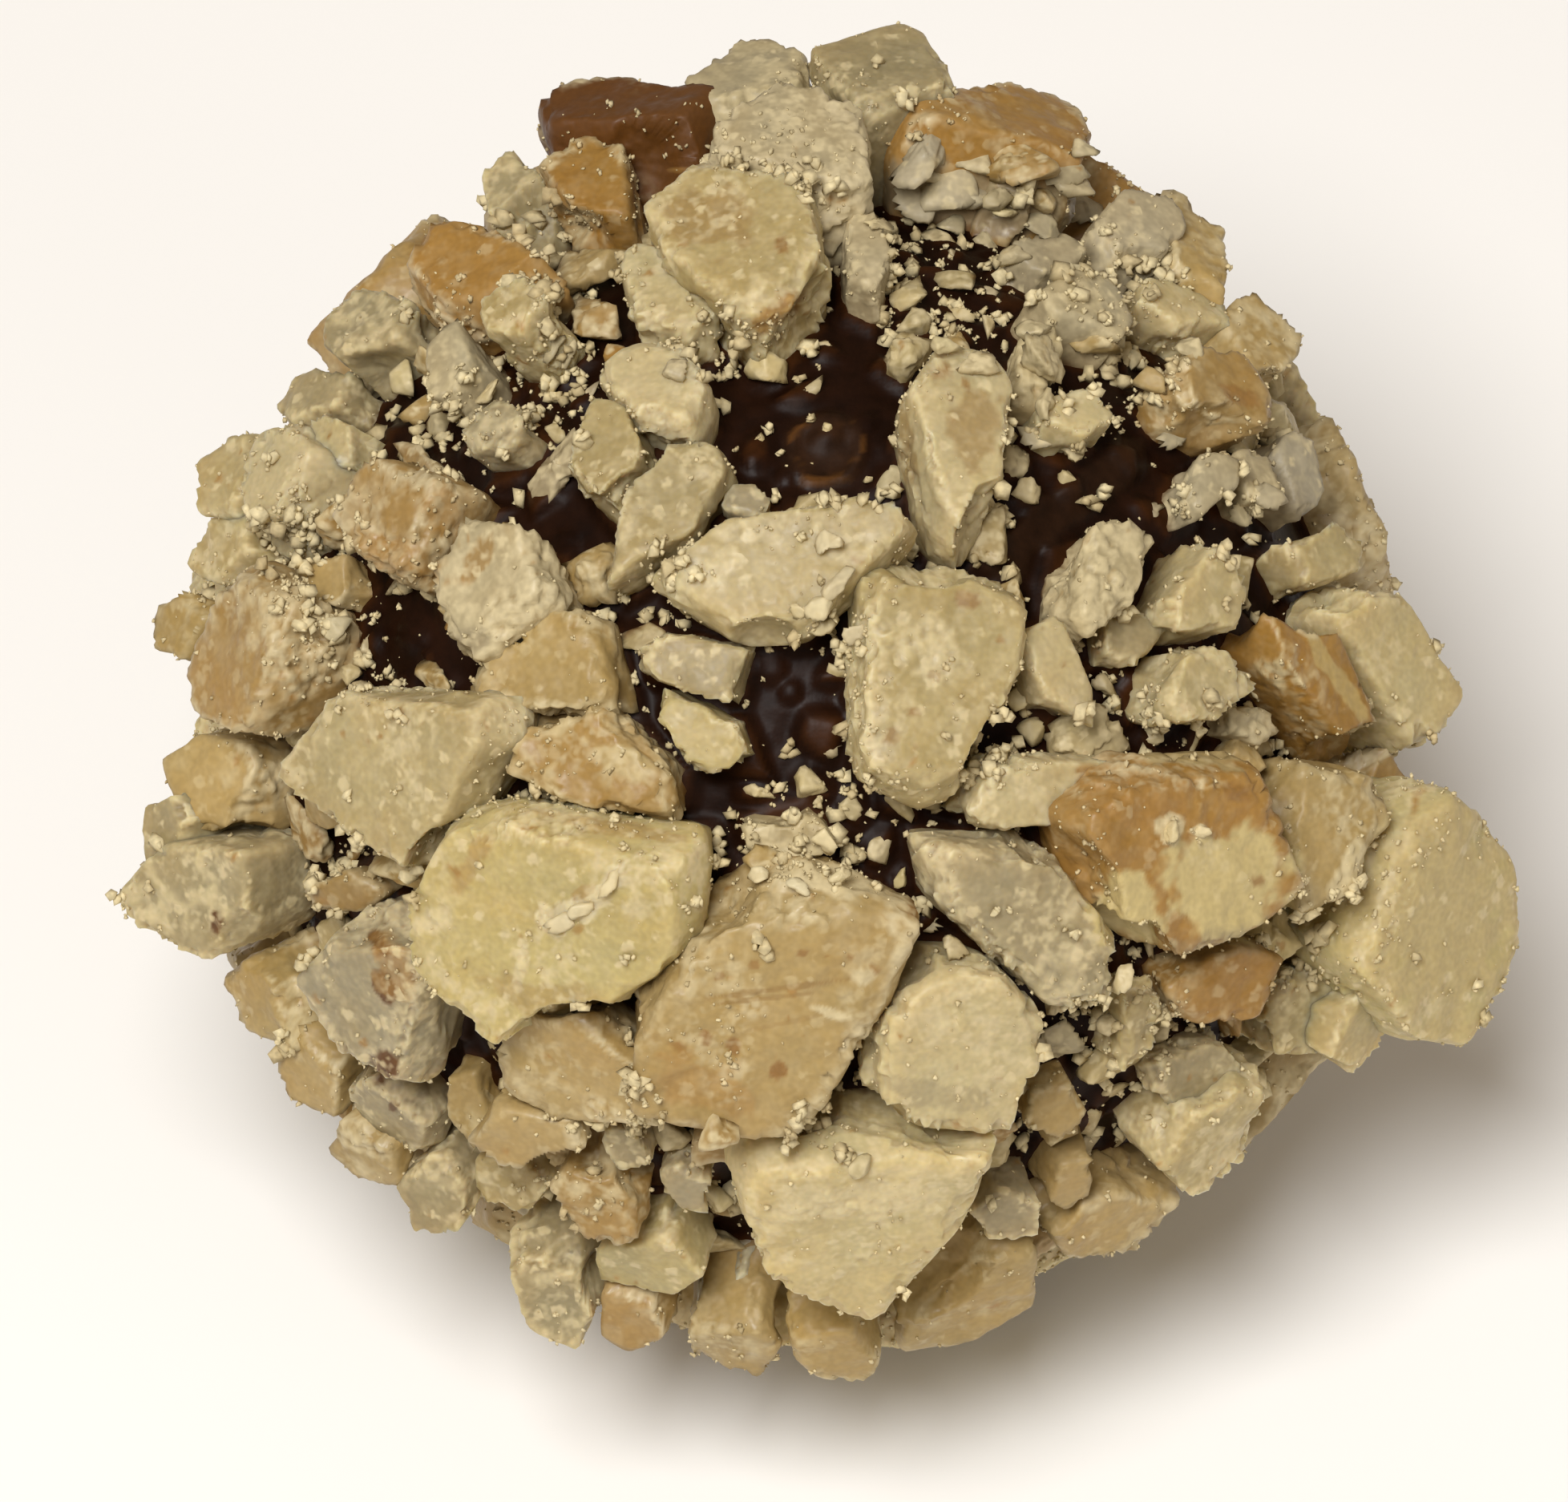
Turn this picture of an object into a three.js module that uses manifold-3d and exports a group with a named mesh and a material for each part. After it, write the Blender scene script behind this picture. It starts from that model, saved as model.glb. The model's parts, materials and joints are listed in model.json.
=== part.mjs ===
// A dark chocolate truffle, about 35 mm across, rolled in chopped hazelnuts.
//
// Millimetres, +Z up. The origin is on the surface that the truffle rests on, under its middle.
// Its best side faces -Y and up. A truffle is one piece of food, so it is one solid: the
// chocolate ball with every nut that shows from a step away fused on, each one a chopped chunk
// with flat cut faces. Crumbs and nut dust are too fine to belong here.

import * as THREE from 'three';
import { ConvexGeometry } from 'three/addons/geometries/ConvexGeometry.js';
import { mergeVertices } from 'three/addons/utils/BufferGeometryUtils.js';
import Module from 'manifold-3d';

// ---- driving dimensions ----

const BALL_RADIUS = 13.3; // the chocolate under the nuts
const BALL_MIDDLE = new THREE.Vector3(-0.28, 0.35, 14.9);
const BALL_FACETS = 3; // subdivisions of the icosahedron
const SHOW_TILT = 50; // degrees: how far above the level the best side looks
const SHOW_DISTANCE = 400; // how far off the ball is looked at
const ROOT_DEPTH = 0.7; // how deep a nut is pressed into the chocolate
const ROOT_SHARE = 0.8; // a nut's root against its widest ring
const CROWN_SHARE = 0.82; // a nut's top against its widest ring
const WAIST = 0.5; // where the widest ring sits, between chocolate and top
const RIM_DEPTH = 0.24; // how far forward a nut at the ball's edge still sits, in radii
const LEAST_STRETCH = 1.3; // how much deeper than it looks a nut near the ball's edge is, from
const MOST_STRETCH = 2.0; // a long one seen end on, to a thin one seen edge on
const CHIP_CORNERS = 5;
const SMALL_CHUNK = 3.4; // under this length a chunk has straight sides and no waist

// ---- chopped nuts on the best side ----

// The large chunks. Each row is the height that it stands proud of the chocolate, then the
// corners of its cut outline, x and y in turn. x is across and y is up, from the ball's
// middle, looking at the best side.
const CHUNKS = {
  broad_pale: [3.0, -9.8, -5.2, -8.6, -2.4, -7.2, -2.0, -2.3, -3.0, -2.6, -5.6, -5.3, -7.7, -7.4, -7.9],
  tan_slab: [2.6, -4.8, -7.2, -2.0, -3.8, 0.4, -3.4, 2.9, -4.6, 2.2, -7.0, -0.2, -10.0, -4.2, -8.9],
  low_cream: [2.8, -2.0, -11.4, -1.4, -10.7, 4.9, -10.5, 4.2, -12.8, 2.0, -15.0, -0.9, -13.6],
  round_cream: [2.4, 3.0, -6.1, 4.8, -6.1, 5.9, -7.2, 5.6, -10.0, 2.6, -10.2, 1.4, -9.2, 2.0, -7.2],
  sheer_grey: [2.0, 2.6, -2.8, 5.8, -2.8, 7.8, -5.4, 7.4, -6.8, 5.8, -6.8, 2.9, -4.2],
  two_tone: [2.8, 6.5, -2.4, 7.8, -1.0, 11.4, -0.9, 12.1, -4.2, 10.4, -5.5, 8.8, -6.0, 7.0, -4.6],
  specked_pale: [2.8, 1.1, 3.7, 3.6, 4.0, 5.5, 3.0, 5.4, 1.6, 3.9, -1.7, 2.8, -2.3, 1.2, -1.4],
  long_cream: [2.6, -3.9, 3.6, -2.0, 4.7, 2.2, 5.4, 3.0, 4.6, 0.2, 2.0, -1.4, 1.9, -3.4, 2.9],
  left_pale: [2.9, -13.0, -1.2, -11.2, 0.8, -7.4, 0.6, -7.2, -0.2, -9.4, -3.9, -11.8, -2.4],
  tan_wedge: [1.9, -7.6, -0.9, -6.6, 0.3, -4.8, 0.4, -2.8, -1.4, -3.0, -2.5, -5.6, -2.0],
  left_hull: [1.9, -8.4, 0.9, -5.8, 2.8, -4.8, 2.5, -4.3, 0.1, -7.4, 0.2],
  chalky: [2.4, -9.0, 3.2, -8.0, 4.9, -6.7, 4.7, -6.2, 3.1, -8.0, 1.4, -8.8, 1.7],
  spotted_grey: [2.6, -12.6, -6.4, -11.4, -4.9, -9.6, -5.0, -8.9, -6.0, -9.9, -9.4, -11.4, -8.4],
  left_rim: [3.0, -16.8, -4.2, -15.4, -2.9, -13.3, -3.1, -14.0, -5.7, -14.7, -5.9, -16.4, -5.0],
  grainy_tan: [2.8, -15.4, 1.4, -14.0, 4.2, -12.4, 2.8, -12.5, 1.8, -13.8, -0.3, -15.2, 0.2],
  crusted_tan: [2.6, -11.8, 4.9, -10.4, 6.8, -8.5, 6.0, -9.9, 3.4, -10.8, 3.8],
  under_left: [1.8, -7.6, -7.2, -5.4, -7.4, -3.1, -9.2, -3.3, -9.8, -5.6, -10.0, -7.6, -9.0],
  high_tan: [2.8, -3.9, 12.5, -2.6, 13.6, 0.2, 13.4, 0.7, 11.2, -0.4, 9.7, -1.4, 9.9, -3.6, 11.7],
  high_white: [3.2, -2.7, 13.8, -2.2, 14.8, -0.2, 15.9, 1.5, 15.0, 1.7, 13.2, 0.8, 12.8],
  top_grey: [2.6, -3.0, 16.0, -1.2, 17.1, 0.1, 16.6, 0.3, 15.6, -2.2, 15.3],
  top_round: [2.8, 0.2, 16.6, 2.3, 17.4, 3.0, 17.0, 3.9, 15.8, 1.6, 15.0],
  skin_flake: [2.6, -6.8, 15.6, -4.8, 16.0, -2.0, 15.7, -2.8, 14.7, -6.4, 14.7],
  golden_back: [2.6, 2.2, 15.3, 4.6, 15.9, 7.1, 15.4, 7.6, 14.2, 7.0, 13.8, 2.6, 14.6],
  amber_left: [2.8, -10.1, 11.3, -9.2, 12.5, -7.6, 12.4, -6.0, 11.1, -8.0, 10.0, -9.2, 10.1],
  amber_high: [2.4, -6.5, 13.6, -5.4, 14.8, -4.4, 14.2, -4.1, 12.4, -5.2, 12.3, -6.2, 13.0],
  crumbly_high: [1.8, -4.6, 11.2, -4.0, 11.9, -3.2, 11.7, -2.0, 10.0, -2.4, 9.4, -4.2, 9.6],
  cream_high: [2.2, -5.3, 8.5, -4.2, 9.5, -3.0, 9.3, -2.3, 8.2, -2.8, 7.0, -4.0, 7.4],
  blade_left: [1.8, -5.8, 6.2, -5.1, 7.8, -4.2, 7.6, -3.9, 6.6, -4.7, 4.6],
  blade_right: [1.9, -3.6, 6.9, -2.0, 6.8, -1.7, 6.2, -2.6, 4.6, -4.8, 3.2, -4.6, 4.6],
  upright_leaf: [2.5, 2.4, 7.8, 3.2, 9.0, 4.6, 9.0, 5.1, 8.0, 4.8, 5.0, 4.2, 4.1, 3.4, 4.5],
  sloping_pale: [1.8, 3.6, -2.3, 4.4, -0.9, 7.7, -0.8, 6.2, -2.6, 4.4, -2.7],
  white_club: [2.2, 7.0, 4.8, 7.8, 5.1, 8.7, 4.5, 8.2, 2.8, 7.0, 2.0, 6.6, 2.6],
  pale_tooth: [2.0, 10.0, 4.6, 11.0, 3.4, 11.1, 2.2, 9.0, 2.0, 8.8, 2.6],
  cream_knob: [2.1, 8.8, 0.6, 9.2, 1.7, 10.4, 1.8, 11.2, 1.0, 10.2, 0.0, 9.1, -0.1],
  amber_blade: [2.2, 11.2, 2.8, 11.9, 3.3, 13.2, 2.2, 14.9, -1.2, 14.0, -1.2, 11.6, 1.4],
  right_long: [2.9, 12.9, 2.8, 13.6, 3.5, 14.8, 3.3, 16.3, 0.6, 16.1, -0.6, 15.2, -0.8],
  right_tan: [2.6, 11.8, -2.2, 12.4, -1.0, 14.0, -1.3, 14.8, -2.4, 13.4, -4.6, 12.4, -4.8],
  right_rim: [4.2, 13.8, -6.2, 14.6, -2.2, 15.8, -1.7, 17.6, -3.4, 17.8, -5.6, 16.4, -8.3, 15.0, -7.8],
  grey_slab: [1.8, 5.7, 10.7, 6.2, 11.2, 7.7, 11.0, 8.4, 10.0, 8.0, 9.6, 6.2, 9.9],
  back_pale: [2.5, 7.0, 12.2, 7.8, 13.2, 9.2, 13.0, 9.4, 12.2, 8.8, 11.0, 7.6, 11.2],
  back_orange: [2.3, 9.1, 8.8, 9.8, 9.4, 11.0, 9.1, 12.0, 7.6, 10.8, 7.4, 9.6, 7.9],
  mid_grey: [1.6, -4.1, 1.7, -3.4, 2.2, -1.2, 2.1, -1.6, 0.5, -2.2, 0.3, -4.0, 1.2],
  left_blob: [2.4, -13.9, 6.0, -13.4, 7.3, -12.6, 7.5, -12.1, 6.8, -13.0, 5.0, -13.8, 5.2],
  left_low: [2.4, -15.9, -1.1, -14.9, -0.2, -13.8, -0.5, -13.4, -1.5, -13.8, -2.9, -15.2, -2.6],
  low_right: [2.4, 2.2, -15.0, 4.8, -13.2, 6.0, -13.0, 5.8, -14.5, 4.0, -15.3, 2.4, -15.7],
  low_left: [2.4, -7.4, -13.2, -5.8, -13.3, -5.0, -14.6, -5.6, -15.6, -6.8, -14.9],
  under_round: [2.0, -8.2, -10.2, -7.6, -9.4, -5.6, -10.0, -5.4, -10.7, -7.4, -11.0],
};

// The smaller chunks, each [across, up, length, width, turn in degrees, height].
const CHIPS = [
  [-0.3, -2.8, 2.8, 1.5, 0, 1.2], [-2.4, -0.4, 3.2, 1.4, -40, 1.4], [-1.4, 5.4, 1.4, 1.1, 0, 1.1],
  [-7.6, 7.2, 1.8, 1.4, 20, 1.4], [6.3, 1.3, 3.0, 1.6, -65, 1.9], [8.2, 2.1, 1.7, 1.5, 0, 1.2],
  [11.0, -0.1, 1.8, 1.0, -10, 1.2], [-7.2, 10.3, 2.0, 1.3, 0, 2.6], [-8.7, 8.9, 2.5, 1.2, 75, 2.2],
  [1.6, 11.7, 2.6, 1.3, -75, 1.8], [3.2, 13.9, 2.7, 1.8, 10, 1.7], [5.3, 13.7, 2.1, 1.7, 80, 2.4],
  [6.1, 11.6, 2.0, 1.2, 0, 1.4], [9.5, 10.4, 2.4, 1.1, -20, 1.9], [11.3, 9.5, 2.4, 1.6, -50, 2.3],
  [9.8, 11.9, 3.2, 1.4, -55, 2.3], [12.3, 6.2, 2.3, 1.1, -75, 1.5], [10.1, 5.9, 2.0, 1.2, 55, 1.6],
  [11.4, 6.1, 2.1, 1.0, -55, 1.5], [13.1, 4.1, 2.3, 1.6, 15, 2.0], [10.6, -6.6, 3.4, 1.9, 25, 2.0],
  [12.5, -7.3, 2.9, 2.4, 30, 2.2], [9.8, -8.9, 3.4, 2.2, -10, 1.5], [8.4, -7.5, 2.6, 1.1, 80, 1.5],
  [10.2, -10.4, 3.8, 2.0, 45, 2.4], [6.3, -9.7, 1.8, 1.7, 0, 1.3], [5.1, -12.3, 1.9, 1.4, 30, 1.6],
  [6.7, -11.5, 1.8, 1.1, 50, 1.5], [7.8, -12.6, 3.8, 1.5, 15, 2.2], [0.8, -15.8, 2.6, 1.5, 0, 2.4],
  [-1.7, -15.6, 2.8, 1.5, -5, 2.1], [-4.3, -14.9, 2.3, 1.6, -15, 2.2], [-1.7, -14.4, 2.1, 1.0, 10, 1.5],
  [-3.8, -13.5, 2.9, 1.4, -5, 1.9], [-5.2, -11.9, 2.7, 2.1, -45, 1.9], [-7.3, -11.4, 2.2, 1.6, 0, 1.4],
  [-4.4, -10.6, 1.5, 1.1, -30, 1.2], [-2.2, -10.6, 1.5, 1.2, 10, 1.3], [-2.8, -11.6, 1.8, 1.2, -40, 1.2],
  [-10.3, -9.7, 2.8, 1.5, -60, 1.8], [-12.3, -8.8, 2.8, 1.5, -55, 2.0], [-10.9, -10.7, 2.1, 1.3, -35, 2.0],
  [-13.5, -7.0, 2.7, 1.2, -50, 1.7], [-9.1, -11.9, 2.3, 1.7, -55, 2.2], [-8.3, -9.6, 2.1, 1.2, -80, 1.3],
  [-11.5, -4.3, 2.1, 1.2, 5, 1.5], [-11.7, 3.5, 1.6, 1.3, 0, 1.3], [-12.7, 4.5, 1.3, 1.1, 0, 1.3],
  [-11.7, 6.9, 1.6, 1.4, 30, 1.7], [-15.6, 2.4, 2.0, 1.1, 80, 2.4], [-14.5, 4.3, 2.4, 1.2, 55, 2.0],
  [-14.3, 6.2, 2.4, 1.3, 70, 2.2], [-10.8, 9.9, 2.7, 1.7, 25, 2.3], [-12.1, 8.2, 2.4, 1.5, 35, 2.0],
  [-7.2, 13.2, 2.1, 1.7, 80, 2.1], [6.9, 7.7, 2.0, 1.4, -10, 1.6], [5.8, 8.8, 2.3, 1.2, 80, 1.3],
  [-15.8, -2.7, 2.2, 1.2, 80, 2.9], [14.6, -1.8, 2.4, 1.5, -60, 2.2], [14.0, -7.5, 2.6, 1.5, 60, 2.4],
];

// ---- chopped nuts on the rest of the ball ----

const FILL_LENGTHS = [6.8, 5.4, 4.2, 3.0]; // largest first
const FILL_TRIES = 900; // places tried for each length
const FILL_ROOM = 0.29; // centres keep this share of the two lengths apart
const FILL_FACE = -0.03; // the best side, which has its own nuts, begins here
const FILL_HEIGHT = 0.8; // a nut's height: this, a share of its length and a little more or less
const FILL_RISE = 0.16;
const FILL_SPREAD = 0.4;
const FOOT_LENGTH = 7.4; // the broad nut that the truffle rests on
const FOOT_HEIGHT = 2.4;

// ---- the same draws each time ----

let drawState = 4711;

function draw() {
  drawState = (drawState * 16807) % 2147483647;
  return drawState / 2147483647;
}

function between(low, high) {
  return low + (high - low) * draw();
}

// ---- directions of the best side ----

const tilt = THREE.MathUtils.degToRad(SHOW_TILT);
const across = new THREE.Vector3(1, 0, 0);
const upward = new THREE.Vector3(0, Math.sin(tilt), Math.cos(tilt));
const toViewer = new THREE.Vector3(0, -Math.cos(tilt), Math.sin(tilt));

// The point at x across, y up and some depth towards the viewer, measured from the middle.
// Nearer points look larger, so they are drawn in by the distance that they are nearer.
function shownPoint(x, y, depth) {
  const nearness = 1 - depth / SHOW_DISTANCE;
  return new THREE.Vector3()
    .addScaledVector(across, x * nearness)
    .addScaledVector(upward, y * nearness)
    .addScaledVector(toViewer, depth);
}

// How far forward the ball of this radius lies at x, y.
function shownDepth(x, y, radius) {
  let depth = 0;
  for (let round = 0; round < 3; round += 1) {
    const side = Math.hypot(x, y) * (1 - depth / SHOW_DISTANCE);
    depth = Math.sqrt(Math.max(radius ** 2 - side ** 2, (RIM_DEPTH * radius) ** 2));
  }
  return depth;
}

// ---- one chunk ----

// A chunk is a ring of corners, the way that its cut face looks, and its height.
// All are measured from the ball's middle.

function ringMiddle(ring) {
  return ring.reduce((sum, corner) => sum.add(corner), new THREE.Vector3()).divideScalar(ring.length);
}

// How long an outline is in one direction.
function span(outline, [dx, dy]) {
  const reach = outline.map((corner) => corner[0] * dx + corner[1] * dy);
  return Math.max(...reach) - Math.min(...reach);
}

// The cut face lies along the ball in the middle of the best side. Towards the ball's edge it
// turns away less than the ball does, so that the nut is no deeper than it is long. Its top
// then stands out past the outline, so the outline is first drawn in by as much.
function shownChunk(drawn, height) {
  const count = drawn.length;
  const x = drawn.reduce((sum, corner) => sum + corner[0], 0) / count;
  const y = drawn.reduce((sum, corner) => sum + corner[1], 0) / count;
  const outward = [x / Math.hypot(x, y), y / Math.hypot(x, y)];
  const radial = span(drawn, outward);
  const around = span(drawn, [-outward[1], outward[0]]);
  const stretch = Math.min(Math.max(around / radial, LEAST_STRETCH), MOST_STRETCH);
  const radius = BALL_RADIUS + WAIST * height;
  const away = Math.atan2(Math.hypot(x, y), shownDepth(x, y, radius));
  const turn = Math.min(away, Math.acos(1 / stretch));
  const top = height * (1 - WAIST) * Math.sin(turn) - 0.5 * radial * (1 - CROWN_SHARE);
  const drawIn = Math.max(top, 0);
  const outline = drawn.map((corner) => [
    corner[0] - drawIn * outward[0],
    corner[1] - drawIn * outward[1],
  ]);
  const centre = [x - drawIn * outward[0], y - drawIn * outward[1]];
  const middle = shownPoint(...centre, shownDepth(...centre, radius));
  const face = new THREE.Vector3()
    .addScaledVector(across, Math.sin(turn) * outward[0])
    .addScaledVector(upward, Math.sin(turn) * outward[1])
    .addScaledVector(toViewer, Math.cos(turn));
  const eye = toViewer.clone().multiplyScalar(SHOW_DISTANCE);
  const ring = outline.map((corner) => {
    const ray = shownPoint(corner[0], corner[1], 0).sub(eye);
    const reach = middle.clone().sub(eye).dot(face) / ray.dot(face);
    return eye.clone().addScaledVector(ray, reach);
  });
  return { ring, face, height };
}

// The outline of a chip: five corners round an oval, each a little in or out.
function chipOutline([x, y, length, width, turn]) {
  const angle = THREE.MathUtils.degToRad(turn);
  const corners = [];
  for (let k = 0; k < CHIP_CORNERS; k += 1) {
    const round = ((k + between(-0.2, 0.2)) * 2 * Math.PI) / CHIP_CORNERS;
    const swell = between(0.95, 1.15);
    const along = 0.5 * length * swell * Math.cos(round);
    const aside = 0.5 * width * swell * Math.sin(round);
    corners.push([
      x + along * Math.cos(angle) - aside * Math.sin(angle),
      y + along * Math.sin(angle) + aside * Math.cos(angle),
    ]);
  }
  return corners;
}

function fillChunk(out, length, height) {
  const side = new THREE.Vector3(out.z, 0, -out.x).normalize();
  const ahead = out.clone().cross(side);
  const turn = between(0, Math.PI);
  const width = length * between(0.6, 0.85);
  const face = out.clone().addScaledVector(side, between(-0.15, 0.15));
  face.addScaledVector(ahead, between(-0.15, 0.15)).normalize();
  const count = 5 + Math.floor(between(0, 2));
  const middle = out.clone().multiplyScalar(BALL_RADIUS + WAIST * height);
  const ring = [];
  for (let k = 0; k < count; k += 1) {
    const round = ((k + between(-0.25, 0.25)) * 2 * Math.PI) / count;
    const swell = between(0.88, 1.12);
    const along = 0.5 * length * swell * Math.cos(round);
    const aside = 0.5 * width * swell * Math.sin(round);
    const corner = middle.clone();
    corner.addScaledVector(side, along * Math.cos(turn) - aside * Math.sin(turn));
    corner.addScaledVector(ahead, along * Math.sin(turn) + aside * Math.cos(turn));
    corner.addScaledVector(face, -corner.clone().sub(middle).dot(face));
    ring.push(corner);
  }
  return { ring, face, height };
}

// The broad nut underneath. Its underside is cut level with the floor later.
function footChunk() {
  return fillChunk(new THREE.Vector3(0, 0, -1), FOOT_LENGTH, FOOT_HEIGHT);
}

function chunkLength({ ring }) {
  const middle = ringMiddle(ring);
  return 2 * Math.max(...ring.map((corner) => corner.distanceTo(middle)));
}

// ---- all the chunks ----

function pairs(flat) {
  return flat.filter((_, k) => k % 2 === 0).map((value, k) => [value, flat[2 * k + 1]]);
}

function allChunks() {
  const chunks = Object.values(CHUNKS).map(([height, ...flat]) => shownChunk(pairs(flat), height));
  CHIPS.forEach((chip) => chunks.push(shownChunk(chipOutline(chip), chip[5])));
  chunks.push(footChunk());
  const taken = chunks.map((chunk) => ({
    out: ringMiddle(chunk.ring).normalize(),
    length: chunkLength(chunk),
  }));
  for (const length of FILL_LENGTHS) {
    for (let attempt = 0; attempt < FILL_TRIES; attempt += 1) {
      const level = between(-1, 1);
      const round = between(0, 2 * Math.PI);
      const flat = Math.sqrt(1 - level * level);
      const out = new THREE.Vector3(flat * Math.cos(round), flat * Math.sin(round), level);
      const free = taken.every(
        (other) => BALL_RADIUS * out.angleTo(other.out) > FILL_ROOM * (length + other.length),
      );
      if (free && out.dot(toViewer) < FILL_FACE) {
        taken.push({ out, length });
        const height = FILL_HEIGHT + FILL_RISE * length + between(0, FILL_SPREAD);
        chunks.push(fillChunk(out, length * between(0.9, 1.1), height));
      }
    }
  }
  return chunks;
}

// The chunk's corners: its root in the chocolate, its widest ring, and its cut top.
function chunkGeometry(chunk) {
  const { ring, face, height } = chunk;
  const small = chunkLength(chunk) < SMALL_CHUNK;
  const middle = ringMiddle(ring);
  const points = [];
  for (const corner of ring) {
    const top = middle.clone().lerp(corner, CROWN_SHARE * between(0.85, 1.15));
    top.addScaledVector(face, height * (1 - WAIST) * between(0.75, 1.1));
    const root = middle.clone().lerp(corner, small ? 1 : ROOT_SHARE);
    points.push(top, root.setLength(BALL_RADIUS - ROOT_DEPTH));
    if (!small) {
      points.push(corner);
    }
  }
  return new ConvexGeometry(points.map((point) => point.clone().add(BALL_MIDDLE)));
}

// ---- solids ----

const wasm = await Module();
wasm.setup();

function toSolid(geometry) {
  const bare = geometry.clone();
  bare.deleteAttribute('normal');
  bare.deleteAttribute('uv');
  const merged = mergeVertices(bare, 1e-5);
  const mesh = new wasm.Mesh({
    numProp: 3,
    vertProperties: new Float32Array(merged.attributes.position.array),
    triVerts: new Uint32Array(merged.index.array),
  });
  return new wasm.Manifold(mesh);
}

function chocolateBall() {
  const ball = new THREE.IcosahedronGeometry(BALL_RADIUS, BALL_FACETS);
  return toSolid(ball.translate(...BALL_MIDDLE));
}

// All that lies below the floor, to be cut away so that the truffle rests level.
function belowFloor() {
  const span = 4 * BALL_RADIUS;
  return toSolid(new THREE.BoxGeometry(span, span, span).translate(0, 0, -span / 2));
}

// The outer skin alone: chunks that lean together can close off a small hollow, which is filled.
function outerSkin({ vertProperties, triVerts }) {
  const owner = Array.from({ length: vertProperties.length / 3 }, (_, k) => k);
  const find = (k) => {
    let root = k;
    while (owner[root] !== root) {
      owner[root] = owner[owner[root]];
      root = owner[root];
    }
    return root;
  };
  for (let t = 0; t < triVerts.length; t += 3) {
    owner[find(triVerts[t])] = find(triVerts[t + 1]);
    owner[find(triVerts[t + 1])] = find(triVerts[t + 2]);
  }
  const sizes = new Map();
  triVerts.forEach((k) => sizes.set(find(k), (sizes.get(find(k)) ?? 0) + 1));
  const largest = [...sizes.entries()].sort((a, b) => b[1] - a[1])[0][0];
  const kept = [];
  for (let t = 0; t < triVerts.length; t += 3) {
    if (find(triVerts[t]) === largest) {
      kept.push(triVerts[t], triVerts[t + 1], triVerts[t + 2]);
    }
  }
  const geometry = new THREE.BufferGeometry();
  geometry.setAttribute('position', new THREE.BufferAttribute(vertProperties, 3));
  geometry.setIndex(kept);
  return geometry;
}

function truffleGeometry() {
  let solid = chocolateBall();
  for (const chunk of allChunks()) {
    solid = solid.add(toSolid(chunkGeometry(chunk)));
  }
  return outerSkin(solid.subtract(belowFloor()).getMesh());
}

// ---- the truffle ----

const nutCoat = new THREE.MeshStandardMaterial({ color: 0xc4ad7c, roughness: 0.6, metalness: 0 });

const truffle = new THREE.Mesh(truffleGeometry(), nutCoat);
truffle.name = 'truffle';

const part = new THREE.Group();
part.add(truffle);

export default part;
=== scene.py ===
# %% [markdown]
# # A chocolate truffle rolled in chopped hazelnuts
#
# A ball of dark chocolate, still tacky, is rolled in a tray of coarsely chopped nuts. Large
# chunks sit over smaller ones, crumbs and nut dust lie on everything, and glossy chocolate
# shows in the gaps. This lesson lays out the nuts first, from the largest to the smallest,
# because the chocolate takes its shape from what is pressed into it. Then come the finishes,
# the meshes of the nuts, the ball, the crumbs, the light and the camera.
#
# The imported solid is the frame. It fixes where the truffle stands and how large it is.

# %% Load the frame
import json
import math
import bmesh
import bpy
import numpy as np
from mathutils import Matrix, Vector

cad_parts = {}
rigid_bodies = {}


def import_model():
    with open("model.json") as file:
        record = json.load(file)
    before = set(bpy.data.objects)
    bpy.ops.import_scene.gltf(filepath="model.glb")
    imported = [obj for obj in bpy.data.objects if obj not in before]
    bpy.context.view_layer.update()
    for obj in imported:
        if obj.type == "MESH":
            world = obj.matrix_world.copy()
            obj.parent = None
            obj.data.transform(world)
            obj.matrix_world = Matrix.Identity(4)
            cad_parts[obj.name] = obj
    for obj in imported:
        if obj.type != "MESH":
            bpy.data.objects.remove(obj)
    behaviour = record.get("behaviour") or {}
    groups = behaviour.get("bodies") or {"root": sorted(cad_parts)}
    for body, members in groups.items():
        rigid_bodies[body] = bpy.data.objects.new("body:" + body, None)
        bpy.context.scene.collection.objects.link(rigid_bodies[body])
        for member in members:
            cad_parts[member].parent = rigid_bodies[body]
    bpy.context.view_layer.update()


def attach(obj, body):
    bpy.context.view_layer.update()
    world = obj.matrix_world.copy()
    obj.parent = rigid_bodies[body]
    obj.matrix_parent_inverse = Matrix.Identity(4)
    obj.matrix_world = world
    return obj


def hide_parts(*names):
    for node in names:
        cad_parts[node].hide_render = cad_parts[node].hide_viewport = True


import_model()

# %% [markdown]
# ## Sizes
#
# Shapes are worked out in millimetres, because a nut is easier to think of as 5 than as
# 0.005, and turned into Blender's metres in the last step of each mesh. These sizes are the
# ones that the solid was made with: the chocolate ball, how deep a nut is pressed into it,
# and how a chunk widens to a waist and closes to a smaller cut top.

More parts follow.
